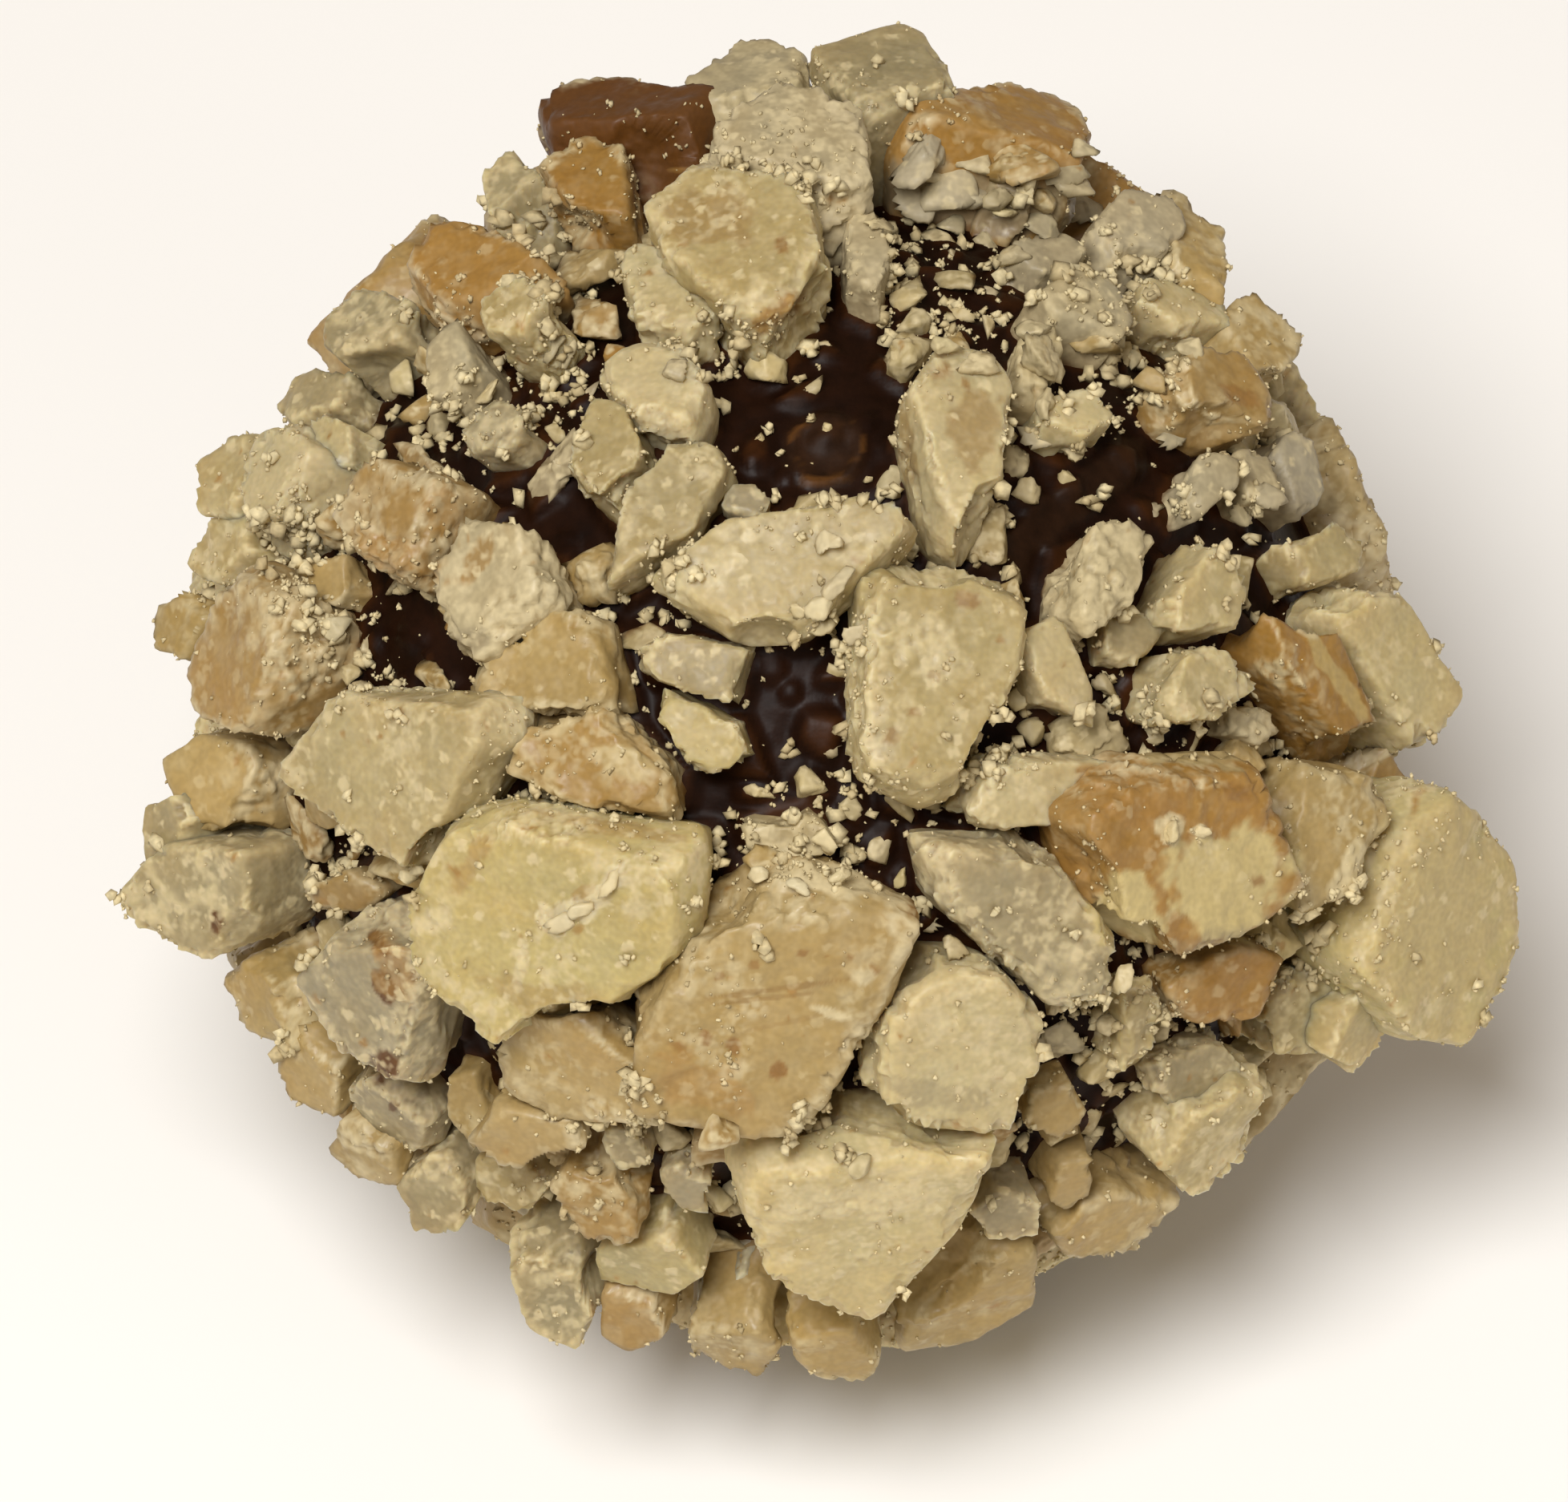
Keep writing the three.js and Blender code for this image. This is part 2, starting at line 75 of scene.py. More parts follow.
# %% Sizes in millimetres
MM = 0.001
BALL_RADIUS = 13.3
BALL_MIDDLE = np.array([-0.28, 0.35, 14.9])
SHOW_TILT = math.radians(50)  # the best side is looked at from this far above the level
SHOW_DISTANCE = 400.0  # and from this far away
ROOT_DEPTH = 0.7  # how deep a nut is pressed into the ball
ROOT_SHARE = 0.8  # the root's size, as a share of the widest outline
CROWN_SHARE = 0.82  # the cut top's size, as a share of it
WAIST = 0.5  # how far up the widest outline is
RIM_DEPTH = 0.24  # nuts beyond the ball's edge lie this share of its radius in front of its middle
LEAST_STRETCH = 1.3  # near the ball's edge a cut face may be this many times as broad as it looks
MOST_STRETCH = 2.0  # and, if it looks very narrow, this many times
CHIP_CORNERS = 5
SMALL_CHUNK = 3.4  # a shorter nut has no waist

# %% [markdown]
# ## Where the nuts lie
#
# The nuts on the best side are placed one by one, as a confectioner would draw them: looking
# at the ball from in front and above, x runs across and y up from its middle. Each row
# holds the kind of nut, how proud it stands, and the corners of its cut outline.

# %% The large chunks of the best side
CHUNKS = {
    "broad_pale": ("green", 3.0, -9.8, -5.2, -8.6, -2.4, -7.2, -2.0, -2.3, -3.0, -2.6, -5.6,
                   -5.3, -7.7, -7.4, -7.9),
    "tan_slab": ("tan", 2.6, -4.8, -7.2, -2.0, -3.8, 0.4, -3.4, 2.9, -4.6, 2.2, -7.0,
                 -0.2, -10.0, -4.2, -8.9),
    "low_cream": ("cream", 2.8, -2.0, -11.4, -1.4, -10.7, 4.9, -10.5, 4.2, -12.8, 2.0, -15.0, -0.9, -13.6),
    "round_cream": ("cream", 2.4, 3.0, -6.1, 4.8, -6.1, 5.9, -7.2, 5.6, -10.0, 2.6, -10.2,
                    1.4, -9.2, 2.0, -7.2),
    "sheer_grey": ("sheer", 2.0, 2.6, -2.8, 5.8, -2.8, 7.8, -5.4, 7.4, -6.8, 5.8, -6.8, 2.9, -4.2),
    "two_tone": ("amber", 2.8, 6.5, -2.4, 7.8, -1.0, 11.4, -0.9, 12.1, -4.2, 10.4, -5.5,
                 8.8, -6.0, 7.0, -4.6),
    "specked_pale": ("pale", 2.8, 1.1, 3.7, 3.6, 4.0, 5.5, 3.0, 5.4, 1.6, 3.9, -1.7, 2.8, -2.3, 1.2, -1.4),
    "long_cream": ("pale", 2.6, -3.9, 3.6, -2.0, 4.7, 2.2, 5.4, 3.0, 4.6, 0.2, 2.0, -1.4, 1.9, -3.4, 2.9),
    "left_pale": ("pale", 2.9, -13.0, -1.2, -11.2, 0.8, -7.4, 0.6, -7.2, -0.2, -9.4, -3.9, -11.8, -2.4),
    "tan_wedge": ("toasted", 1.9, -7.6, -0.9, -6.6, 0.3, -4.8, 0.4, -2.8, -1.4, -3.0, -2.5, -5.6, -2.0),
    "left_hull": ("tan", 1.9, -8.4, 0.9, -5.8, 2.8, -4.8, 2.5, -4.3, 0.1, -7.4, 0.2),
    "chalky": ("chalky", 2.4, -9.0, 3.2, -8.0, 4.9, -6.7, 4.7, -6.2, 3.1, -8.0, 1.4, -8.8, 1.7),
    "spotted_grey": ("sheer", 2.6, -12.6, -6.4, -11.4, -4.9, -9.6, -5.0, -8.9, -6.0,
                     -9.9, -9.4, -11.4, -8.4),
    "left_rim": ("sheer", 3.0, -16.8, -4.2, -15.4, -2.9, -13.3, -3.1, -14.0, -5.7,
                 -14.7, -5.9, -16.4, -5.0),
    "grainy_tan": ("toasted", 2.8, -15.4, 1.4, -14.0, 4.2, -12.4, 2.8, -12.5, 1.8, -13.8, -0.3, -15.2, 0.2),
    "crusted_tan": ("toasted", 2.6, -11.8, 4.9, -10.4, 6.8, -8.5, 6.0, -9.9, 3.4, -10.8, 3.8),
    "under_left": ("tan", 1.8, -7.6, -7.2, -5.4, -7.4, -3.1, -9.2, -3.3, -9.8, -5.6, -10.0, -7.6, -9.0),
    "high_tan": ("pale", 2.8, -3.9, 12.5, -2.6, 13.6, 0.2, 13.4, 0.7, 11.2, -0.4, 9.7,
                 -1.4, 9.9, -3.6, 11.7),
    "high_white": ("chalky", 3.2, -2.7, 13.8, -2.2, 14.8, -0.2, 15.9, 1.5, 15.0, 1.7, 13.2, 0.8, 12.8),
    "top_grey": ("papery", 2.6, -3.0, 16.0, -1.2, 17.1, 0.1, 16.6, 0.3, 15.6, -2.2, 15.3),
    "top_round": ("sheer", 2.8, 0.2, 16.6, 2.3, 17.4, 3.0, 17.0, 3.9, 15.8, 1.6, 15.0),
    "skin_flake": ("skin", 2.6, -6.8, 15.6, -4.8, 16.0, -2.0, 15.7, -2.8, 14.7, -6.4, 14.7),
    "golden_back": ("amber", 2.6, 2.2, 15.3, 4.6, 15.9, 7.1, 15.4, 7.6, 14.2, 7.0, 13.8, 2.6, 14.6),
    "amber_left": ("amber", 2.8, -10.1, 11.3, -9.2, 12.5, -7.6, 12.4, -6.0, 11.1, -8.0, 10.0, -9.2, 10.1),
    "amber_high": ("amber", 2.4, -6.5, 13.6, -5.4, 14.8, -4.4, 14.2, -4.1, 12.4, -5.2, 12.3, -6.2, 13.0),
    "crumbly_high": ("cream", 1.8, -4.6, 11.2, -4.0, 11.9, -3.2, 11.7, -2.0, 10.0, -2.4, 9.4, -4.2, 9.6),
    "cream_high": ("cream", 2.2, -5.3, 8.5, -4.2, 9.5, -3.0, 9.3, -2.3, 8.2, -2.8, 7.0, -4.0, 7.4),
    "blade_left": ("pale", 1.8, -5.8, 6.2, -5.1, 7.8, -4.2, 7.6, -3.9, 6.6, -4.7, 4.6),
    "blade_right": ("pale", 1.9, -3.6, 6.9, -2.0, 6.8, -1.7, 6.2, -2.6, 4.6, -4.8, 3.2, -4.6, 4.6),
    "upright_leaf": ("cream", 2.5, 2.4, 7.8, 3.2, 9.0, 4.6, 9.0, 5.1, 8.0, 4.8, 5.0, 4.2, 4.1, 3.4, 4.5),
    "sloping_pale": ("cream", 1.8, 3.6, -2.3, 4.4, -0.9, 7.7, -0.8, 6.2, -2.6, 4.4, -2.7),
    "white_club": ("chalky", 2.2, 7.0, 4.8, 7.8, 5.1, 8.7, 4.5, 8.2, 2.8, 7.0, 2.0, 6.6, 2.6),
    "pale_tooth": ("cream", 2.0, 10.0, 4.6, 11.0, 3.4, 11.1, 2.2, 9.0, 2.0, 8.8, 2.6),
    "cream_knob": ("cream", 2.1, 8.8, 0.6, 9.2, 1.7, 10.4, 1.8, 11.2, 1.0, 10.2, 0.0, 9.1, -0.1),
    "amber_blade": ("amber", 2.2, 11.2, 2.8, 11.9, 3.3, 13.2, 2.2, 14.9, -1.2, 14.0, -1.2, 11.6, 1.4),
    "right_long": ("cream", 2.9, 12.9, 2.8, 13.6, 3.5, 14.8, 3.3, 16.3, 0.6, 16.1, -0.6, 15.2, -0.8),
    "right_tan": ("tan", 2.6, 11.8, -2.2, 12.4, -1.0, 14.0, -1.3, 14.8, -2.4, 13.4, -4.6, 12.4, -4.8),
    "right_rim": ("green", 4.2, 13.8, -6.2, 14.6, -2.2, 15.8, -1.7, 17.6, -3.4, 17.8, -5.6,
                  16.4, -8.3, 15.0, -7.8),
    "grey_slab": ("flat", 1.8, 5.7, 10.7, 6.2, 11.2, 7.7, 11.0, 8.4, 10.0, 8.0, 9.6, 6.2, 9.9),
    "back_pale": ("papery", 2.5, 7.0, 12.2, 7.8, 13.2, 9.2, 13.0, 9.4, 12.2, 8.8, 11.0, 7.6, 11.2),
    "back_orange": ("toasted", 2.3, 9.1, 8.8, 9.8, 9.4, 11.0, 9.1, 12.0, 7.6, 10.8, 7.4, 9.6, 7.9),
    "mid_grey": ("sheer", 1.6, -4.1, 1.7, -3.4, 2.2, -1.2, 2.1, -1.6, 0.5, -2.2, 0.3, -4.0, 1.2),
    "left_blob": ("cream", 2.4, -13.9, 6.0, -13.4, 7.3, -12.6, 7.5, -12.1, 6.8, -13.0, 5.0, -13.8, 5.2),
    "left_low": ("tan", 2.4, -15.9, -1.1, -14.9, -0.2, -13.8, -0.5, -13.4, -1.5, -13.8, -2.9, -15.2, -2.6),
    "low_right": ("tan", 2.4, 2.2, -15.0, 4.8, -13.2, 6.0, -13.0, 5.8, -14.5, 4.0, -15.3, 2.4, -15.7),
    "low_left": ("sheer", 2.4, -7.4, -13.2, -5.8, -13.3, -5.0, -14.6, -5.6, -15.6, -6.8, -14.9),
    "under_round": ("tan", 2.0, -8.2, -10.2, -7.6, -9.4, -5.6, -10.0, -5.4, -10.7, -7.4, -11.0),
}

# %% [markdown]
# The smaller chips are ovals, so their rows are shorter: the kind, where the middle is,
# length, width, turn in degrees and height.

# %% The chips of the best side
CHIPS = [
    ("chalky", -0.3, -2.8, 2.8, 1.5, 0, 1.2), ("green", -2.4, -0.4, 3.2, 1.4, -40, 1.4),
    ("sheer", -1.4, 5.4, 1.4, 1.1, 0, 1.1), ("sheer", -7.6, 7.2, 1.8, 1.4, 20, 1.4),
    ("cream", 6.3, 1.3, 3.0, 1.6, -65, 1.9), ("sheer", 8.2, 2.1, 1.7, 1.5, 0, 1.2),
    ("chalky", 11.0, -0.1, 1.8, 1.0, -10, 1.2), ("pale", -7.2, 10.3, 2.0, 1.3, 0, 2.6),
    ("flat", -8.7, 8.9, 2.5, 1.2, 75, 2.2), ("chalky", 1.6, 11.7, 2.6, 1.3, -75, 1.8),
    ("flat", 3.2, 13.9, 2.7, 1.8, 10, 1.7), ("toasted", 5.3, 13.7, 2.1, 1.7, 80, 2.4),
    ("flat", 6.1, 11.6, 2.0, 1.2, 0, 1.4), ("cream", 9.5, 10.4, 2.4, 1.1, -20, 1.9),
    ("tan", 11.3, 9.5, 2.4, 1.6, -50, 2.3), ("tan", 9.8, 11.9, 3.2, 1.4, -55, 2.3),
    ("flat", 12.3, 6.2, 2.3, 1.1, -75, 1.5), ("flat", 10.1, 5.9, 2.0, 1.2, 55, 1.6),
    ("papery", 11.4, 6.1, 2.1, 1.0, -55, 1.5), ("pale", 13.1, 4.1, 2.3, 1.6, 15, 2.0),
    ("amber", 10.6, -6.6, 3.4, 1.9, 25, 2.0), ("pale", 12.5, -7.3, 2.9, 2.4, 30, 2.2),
    ("sheer", 9.8, -8.9, 3.4, 2.2, -10, 1.5), ("pale", 8.4, -7.5, 2.6, 1.1, 80, 1.5),
    ("pale", 10.2, -10.4, 3.8, 2.0, 45, 2.4), ("tan", 6.3, -9.7, 1.8, 1.7, 0, 1.3),
    ("sheer", 5.1, -12.3, 1.9, 1.4, 30, 1.6), ("tan", 6.7, -11.5, 1.8, 1.1, 50, 1.5),
    ("tan", 7.8, -12.6, 3.8, 1.5, 15, 2.2), ("tan", 0.8, -15.8, 2.6, 1.5, 0, 2.4),
    ("tan", -1.7, -15.6, 2.8, 1.5, -5, 2.1), ("toasted", -4.3, -14.9, 2.3, 1.6, -15, 2.2),
    ("sheer", -1.7, -14.4, 2.1, 1.0, 10, 1.5), ("green", -3.8, -13.5, 2.9, 1.4, -5, 1.9),
    ("toasted", -5.2, -11.9, 2.7, 2.1, -45, 1.9), ("pale", -7.3, -11.4, 2.2, 1.6, 0, 1.4),
    ("sheer", -4.4, -10.6, 1.5, 1.1, -30, 1.2), ("toasted", -2.2, -10.6, 1.5, 1.2, 10, 1.3),
    ("sheer", -2.8, -11.6, 1.8, 1.2, -40, 1.2), ("sheer", -10.3, -9.7, 2.8, 1.5, -60, 1.8),
    ("tan", -12.3, -8.8, 2.8, 1.5, -55, 2.0), ("tan", -10.9, -10.7, 2.1, 1.3, -35, 2.0),
    ("tan", -13.5, -7.0, 2.7, 1.2, -50, 1.7), ("sheer", -9.1, -11.9, 2.3, 1.7, -55, 2.2),
    ("tan", -8.3, -9.6, 2.1, 1.2, -80, 1.3), ("toasted", -11.5, -4.3, 2.1, 1.2, 5, 1.5),
    ("tan", -11.7, 3.5, 1.6, 1.3, 0, 1.3), ("sheer", -12.7, 4.5, 1.3, 1.1, 0, 1.3),
    ("cream", -11.7, 6.9, 1.6, 1.4, 30, 1.7), ("tan", -15.6, 2.4, 2.0, 1.1, 80, 2.4),
    ("pale", -14.5, 4.3, 2.4, 1.2, 55, 2.0), ("pale", -14.3, 6.2, 2.4, 1.3, 70, 2.2),
    ("sheer", -10.8, 9.9, 2.7, 1.7, 25, 2.3), ("sheer", -12.1, 8.2, 2.4, 1.5, 35, 2.0),
    ("sheer", -7.2, 13.2, 2.1, 1.7, 80, 2.1), ("cream", 6.9, 7.7, 2.0, 1.4, -10, 1.6),
    ("chalky", 5.8, 8.8, 2.3, 1.2, 80, 1.3), ("sheer", -15.8, -2.7, 2.2, 1.2, 80, 2.9),
    ("toasted", 14.6, -1.8, 2.4, 1.5, -60, 2.2), ("pale", 14.0, -7.5, 2.6, 1.5, 60, 2.4),
]

# %% [markdown]
# ## The rest of the ball
#
# The sides, back and underside follow a rule. Places are tried at random, largest nuts
# first, and a nut is kept where it has room, as happens when a sticky ball rolls over a
# tray. The draws come from a small generator whose every step is exact in whole numbers,
# so the nuts land in the same places each time the script runs, and where the solid has
# them.

# %% The rule for the rest of the ball
FILL_LENGTHS = (6.8, 5.4, 4.2, 3.0)
FILL_TRIES = 900  # for each of the lengths
FILL_ROOM = 0.29  # the room between two nuts, as a share of both their lengths
FILL_FACE = -0.03  # places that face the viewer more than this are left to the tables
FILL_HEIGHT = 0.8
FILL_RISE = 0.16  # how much taller a nut is for each millimetre of its length
FILL_SPREAD = 0.4
FOOT_LENGTH = 7.4  # the broad nut under the middle, which the truffle stands on
FOOT_HEIGHT = 2.4
DRAW_STEP = 16807
DRAW_ROUND = 2147483647
draw_state = [4711]


def draw():
    draw_state[0] = draw_state[0] * DRAW_STEP % DRAW_ROUND
    return draw_state[0] / DRAW_ROUND


def between(low, high):
    return low + (high - low) * draw()


# %% [markdown]
# A nut drawn at x, y has to be put on the round ball behind that drawing. These helpers
# turn x, y and a depth into a point, measured from the ball's middle. Nearer points look
# larger, so they are drawn in a little.

# %% From the drawing to the ball
ACROSS = np.array([1.0, 0.0, 0.0])
UPWARD = np.array([0.0, math.sin(SHOW_TILT), math.cos(SHOW_TILT)])
TO_VIEWER = np.array([0.0, -math.cos(SHOW_TILT), math.sin(SHOW_TILT)])


def unit(vector):
    return vector / np.linalg.norm(vector)


def unit_rows(vectors):
    return vectors / np.linalg.norm(vectors, axis=1)[:, None]


def shown_point(x, y, depth):
    nearness = 1 - depth / SHOW_DISTANCE
    return ACROSS * x * nearness + UPWARD * y * nearness + TO_VIEWER * depth


def shown_depth(x, y, radius):
    depth = 0.0
    for _ in range(3):
        side = math.hypot(x, y) * (1 - depth / SHOW_DISTANCE)
        depth = math.sqrt(max(radius**2 - side**2, (RIM_DEPTH * radius) ** 2))
    return depth


def drawn_place(points):
    """The x, y at which points, measured from the ball's middle, are seen."""
    depth = points @ TO_VIEWER
    nearness = 1 - depth / SHOW_DISTANCE
    return points @ ACROSS / nearness, points @ UPWARD / nearness


# %% [markdown]
# A chunk is kept as a ring of corners, the way that its cut face looks, and its height.
# In the middle of the best side the face lies along the ball. Near the ball's edge we see a
# nut edge on, so its face turns away only as far as keeps the nut about as deep as it is
# long.

# %% Rings of corners
def span(outline, direction):
    reach = outline @ np.array(direction)
    return reach.max() - reach.min()


def shown_chunk(flat, height):
    drawn = np.array(flat, float).reshape(-1, 2)
    centre = drawn.mean(0)
    outward = centre / math.hypot(*centre)
    radial = span(drawn, outward)
    around = span(drawn, (-outward[1], outward[0]))
    stretch = min(max(around / radial, LEAST_STRETCH), MOST_STRETCH)
    radius = BALL_RADIUS + WAIST * height
    away = math.atan2(math.hypot(*centre), shown_depth(*centre, radius))
    turn = min(away, math.acos(1 / stretch))
    top = height * (1 - WAIST) * math.sin(turn) - 0.5 * radial * (1 - CROWN_SHARE)
    draw_in = max(top, 0) * outward
    centre = centre - draw_in
    middle = shown_point(*centre, shown_depth(*centre, radius))
    sideways = ACROSS * outward[0] + UPWARD * outward[1]
    face = sideways * math.sin(turn) + TO_VIEWER * math.cos(turn)
    eye = TO_VIEWER * SHOW_DISTANCE
    rays = [shown_point(*(corner - draw_in), 0) - eye for corner in drawn]
    ring = [eye + ray * ((middle - eye) @ face) / (ray @ face) for ray in rays]
    return {"ring": np.array(ring), "face": face, "height": height}


# %% [markdown]
# A chip's oval becomes five corners, each a little off its place, because a regular one
# would look like a tile.

# %% The ring of a chip
def uneven_oval(count, length, width, off_place, least, most):
    """How far along and aside each corner lies from the middle."""
    for k in range(count):
        around = (k + between(-off_place, off_place)) * 2 * math.pi / count
        swell = between(least, most)
        yield 0.5 * length * swell * math.cos(around), 0.5 * width * swell * math.sin(around)


def chip_outline(x, y, length, width, turn):
    angle = math.radians(turn)
    corners = []
    for along, aside in uneven_oval(CHIP_CORNERS, length, width, 0.2, 0.95, 1.15):
        corners.append(x + along * math.cos(angle) - aside * math.sin(angle))
        corners.append(y + along * math.sin(angle) + aside * math.cos(angle))
    return corners


# %% [markdown]
# A nut of the rule lies on the ball and not on a drawing, so its oval is laid out on the
# ball's surface. It gets five or six corners, and leans a little, as a nut does that was
# pressed in askew.

# %% The ring of a nut of the rule
ASKEW = 0.15  # how far its face may lean to each side


def fill_chunk(out, length, height):
    side = unit(np.array([out[2], 0.0, -out[0]]))
    ahead = np.cross(out, side)
    turn = between(0, math.pi)
    width = length * between(0.6, 0.85)
    face = out + side * between(-ASKEW, ASKEW)
    face = unit(face + ahead * between(-ASKEW, ASKEW))
    count = 5 + math.floor(between(0, 2))
    middle = out * (BALL_RADIUS + WAIST * height)
    ring = []
    for along, aside in uneven_oval(count, length, width, 0.25, 0.88, 1.12):
        corner = middle + side * (along * math.cos(turn) - aside * math.sin(turn))
        corner = corner + ahead * (along * math.sin(turn) + aside * math.cos(turn))
        ring.append(corner - face * ((corner - middle) @ face))
    return {"ring": np.array(ring), "face": face, "height": height}


def chunk_length(chunk):
    ring = chunk["ring"]
    return 2 * np.linalg.norm(ring - ring.mean(0), axis=1).max()


# %% [markdown]
# All chunks are laid out in one go, in the same order as in the solid. The nuts of the rule
# take their kind from a list in which each kind stands as often as it shows on the best
# side: mostly pale, some tan, a few toasted.

# %% Lay out all chunks
RULE_KINDS = ("pale", "cream", "tan", "pale", "sheer", "toasted", "green", "pale", "tan", "chalky",
              "cream", "amber", "pale", "tan", "sheer", "pale", "toasted", "cream", "green", "tan")


def lay_out_chunks():
    chunks = []
    for kind, height, *flat in CHUNKS.values():
        chunks.append({**shown_chunk(flat, height), "kind": kind})
    for kind, *oval, height in CHIPS:
        chunks.append({**shown_chunk(chip_outline(*oval), height), "kind": kind})
    shown = len(chunks)
    chunks.append({**fill_chunk(np.array([0.0, 0.0, -1.0]), FOOT_LENGTH, FOOT_HEIGHT), "kind": "tan"})
    ways = [unit(chunk["ring"].mean(0)) for chunk in chunks]
    lengths = [chunk_length(chunk) for chunk in chunks]
    for length in FILL_LENGTHS:
        for _ in range(FILL_TRIES):
            level = between(-1, 1)
            around = between(0, 2 * math.pi)
            flat = math.sqrt(1 - level * level)
            out = np.array([flat * math.cos(around), flat * math.sin(around), level])
            angles = np.arccos(np.clip(np.array(ways) @ out, -1, 1))
            room = FILL_ROOM * (length + np.array(lengths))
            if (BALL_RADIUS * angles > room).all() and out @ TO_VIEWER < FILL_FACE:
                ways.append(out)
                lengths.append(length)
                height = FILL_HEIGHT + FILL_RISE * length + between(0, FILL_SPREAD)
                kind = RULE_KINDS[len(chunks) % len(RULE_KINDS)]
                chunks.append({**fill_chunk(out, length * between(0.9, 1.1), height), "kind": kind})
    return chunks, shown


chunks, shown_count = lay_out_chunks()
print(shown_count, "nuts placed by hand,", len(chunks) - shown_count, "by the rule")

# %% [markdown]
# ## The shape of one chopped nut
#
# A knife leaves flat faces that meet in edges, and where the nut tore instead of being cut
# there are scoops. A box with a Bevel modifier gives every nut the same edge all over. Here
# each nut is a ball of directions instead: in each direction the flat faces compete for the
# distance, and a high power lets the nearest one win. The power is the sharpness of the
# edges.
#
# First come the flat faces: the hull of the root, the waist and the top. The top corners
# are drawn level, because a knife cuts one plane.

# %% The corners of a chunk
LEVELLED = 0.9  # how much of the top corners' ups and downs the knife takes away
TOP_SPREAD = 1.1  # a rounded edge draws the cut top in, so it starts a little wider


def levelled(corners):
    """Corners moved most of the way to the plane that fits them best."""
    middle = corners.mean(0)
    _, _, axes = np.linalg.svd(corners - middle)
    return corners - LEVELLED * np.outer((corners - middle) @ axes[2], axes[2])


def chunk_corners(chunk):
    ring, face, height = chunk["ring"], chunk["face"], chunk["height"]
    small = chunk_length(chunk) < SMALL_CHUNK
    middle = ring.mean(0)
    crown, root = [], []
    for corner in ring:
        top = middle + (corner - middle) * CROWN_SHARE * between(0.85, 1.15)
        crown.append(top + face * height * (1 - WAIST) * between(0.75, 1.1))
        low = middle + (corner - middle) * (1 if small else ROOT_SHARE)
        root.append(unit(low) * (BALL_RADIUS - ROOT_DEPTH))
    crown = levelled(np.array(crown))
    crown = crown.mean(0) + TOP_SPREAD * (crown - crown.mean(0))
    return np.vstack([crown, root] if small else [crown, root, ring])


# %% [markdown]
# The convex hull of the corners gives the flat faces. Faces that look nearly the same way
# count as one, or the hull's triangles would leave faint edges across a clean cut. Then a few
# extra knife cuts cross the corners, each a plane at random that only just meets the nut.

# %% The flat faces between the corners
luck = np.random.RandomState(20)  # all that the solid does not decide
SAME_FACE = 0.985  # faces that look this nearly the same way count as one


def hull_faces(corners):
    hull = bmesh.new()
    for corner in corners:
        hull.verts.new(corner)
    bmesh.ops.convex_hull(hull, input=hull.verts)
    normals, distances = [], []
    for face in hull.faces:
        normal = np.array(face.normal)
        distance = normal @ np.array(face.verts[0].co)
        if distance < 0:
            normal, distance = -normal, -distance
        if all(normal @ other < SAME_FACE for other in normals):
            normals.append(normal)
            distances.append(distance)
    hull.free()
    return np.array(normals), np.array(distances)


def knife_cuts(corners, count, deepest):
    normals = unit_rows(luck.normal(size=(count, 3)))
    reach = (normals @ corners.T).max(1)
    return normals, reach * luck.uniform(deepest, 0.99, count)


# %% [markdown]
# A scoop is a ball that is taken away. Its middle lies outside the nut, so it leaves a
# shallow dish with a crisp rim, and where it crosses an edge the outline turns inwards,
# which flat cuts alone never do.

# %% Scoops
def pulls(nut, directions):
    """How hard each flat face of the nut holds back each direction."""
    return np.clip(directions @ (nut["normals"] / nut["distances"][:, None]).T, 0, None)


def add_scoops(nut, count):
    outward = unit(nut["heart"])
    for _ in range(count):
        way = luck.normal(size=3)
        way = unit(unit(way - outward * (way @ outward)) + luck.uniform(-0.2, 0.4) * outward)
        radius = nut["size"] * luck.uniform(0.3, 0.7)
        depth = luck.uniform(0.12, 0.34)
        reach = 1 / pulls(nut, way[None, :]).max()
        nut["scoops"].append((way * (reach + radius * (1 - depth)), radius))


# %% [markdown]
# A nut is then its flat faces, its scoops and a tone of its own, a little lighter or darker
# and more or less yellow than its kind. The whole shape starts a little larger than its
# corners, because rounded edges draw it in.

# %% The whole shape of a nut
ROUNDING_SWELL = 1.03


def shape_from(corners, kind, cuts, deepest, scoops, swell=1.0):
    """A nut: its heart, the normals and distances of its faces, its scoops and its size."""
    heart = corners.mean(0)
    corners = (corners - heart) * swell
    normals, distances = hull_faces(corners)
    extra_normals, extra_distances = knife_cuts(corners, cuts, deepest)
    nut = {
        "heart": heart,
        "normals": np.vstack([normals, extra_normals]),
        "distances": np.concatenate([distances, extra_distances]),
        "size": np.linalg.norm(corners, axis=1).max(),
        "kind": kind,
        "scoops": [],
        "tone": luck.uniform(0.93, 1.07) * (1 + luck.uniform(-1, 1) * np.array([0.01, 0.0, -0.06])),
    }
    add_scoops(nut, scoops)
    return nut


nuts = [
    shape_from(chunk_corners(chunk), chunk["kind"], cuts=2, deepest=0.93, scoops=3, swell=ROUNDING_SWELL)
    for chunk in chunks
]
print("flat faces on a nut:", np.mean([len(nut["distances"]) for nut in nuts]).round(1))

# %% [markdown]
# Then the ball of directions. A UV sphere crowds its points at the poles and an icosphere
# comes in only a few sizes, so a cube is blown up into a ball: its six faces are even grids
# of any fineness. The grid is then leaned outwards, which packs the points more closely on
# the side that shows and leaves few on the root inside the chocolate.

# %% A ball of directions from a blown-up cube
LEAN = 0.42  # 0 spreads the points evenly, 1 would leave none on the root
ball_cache = {}


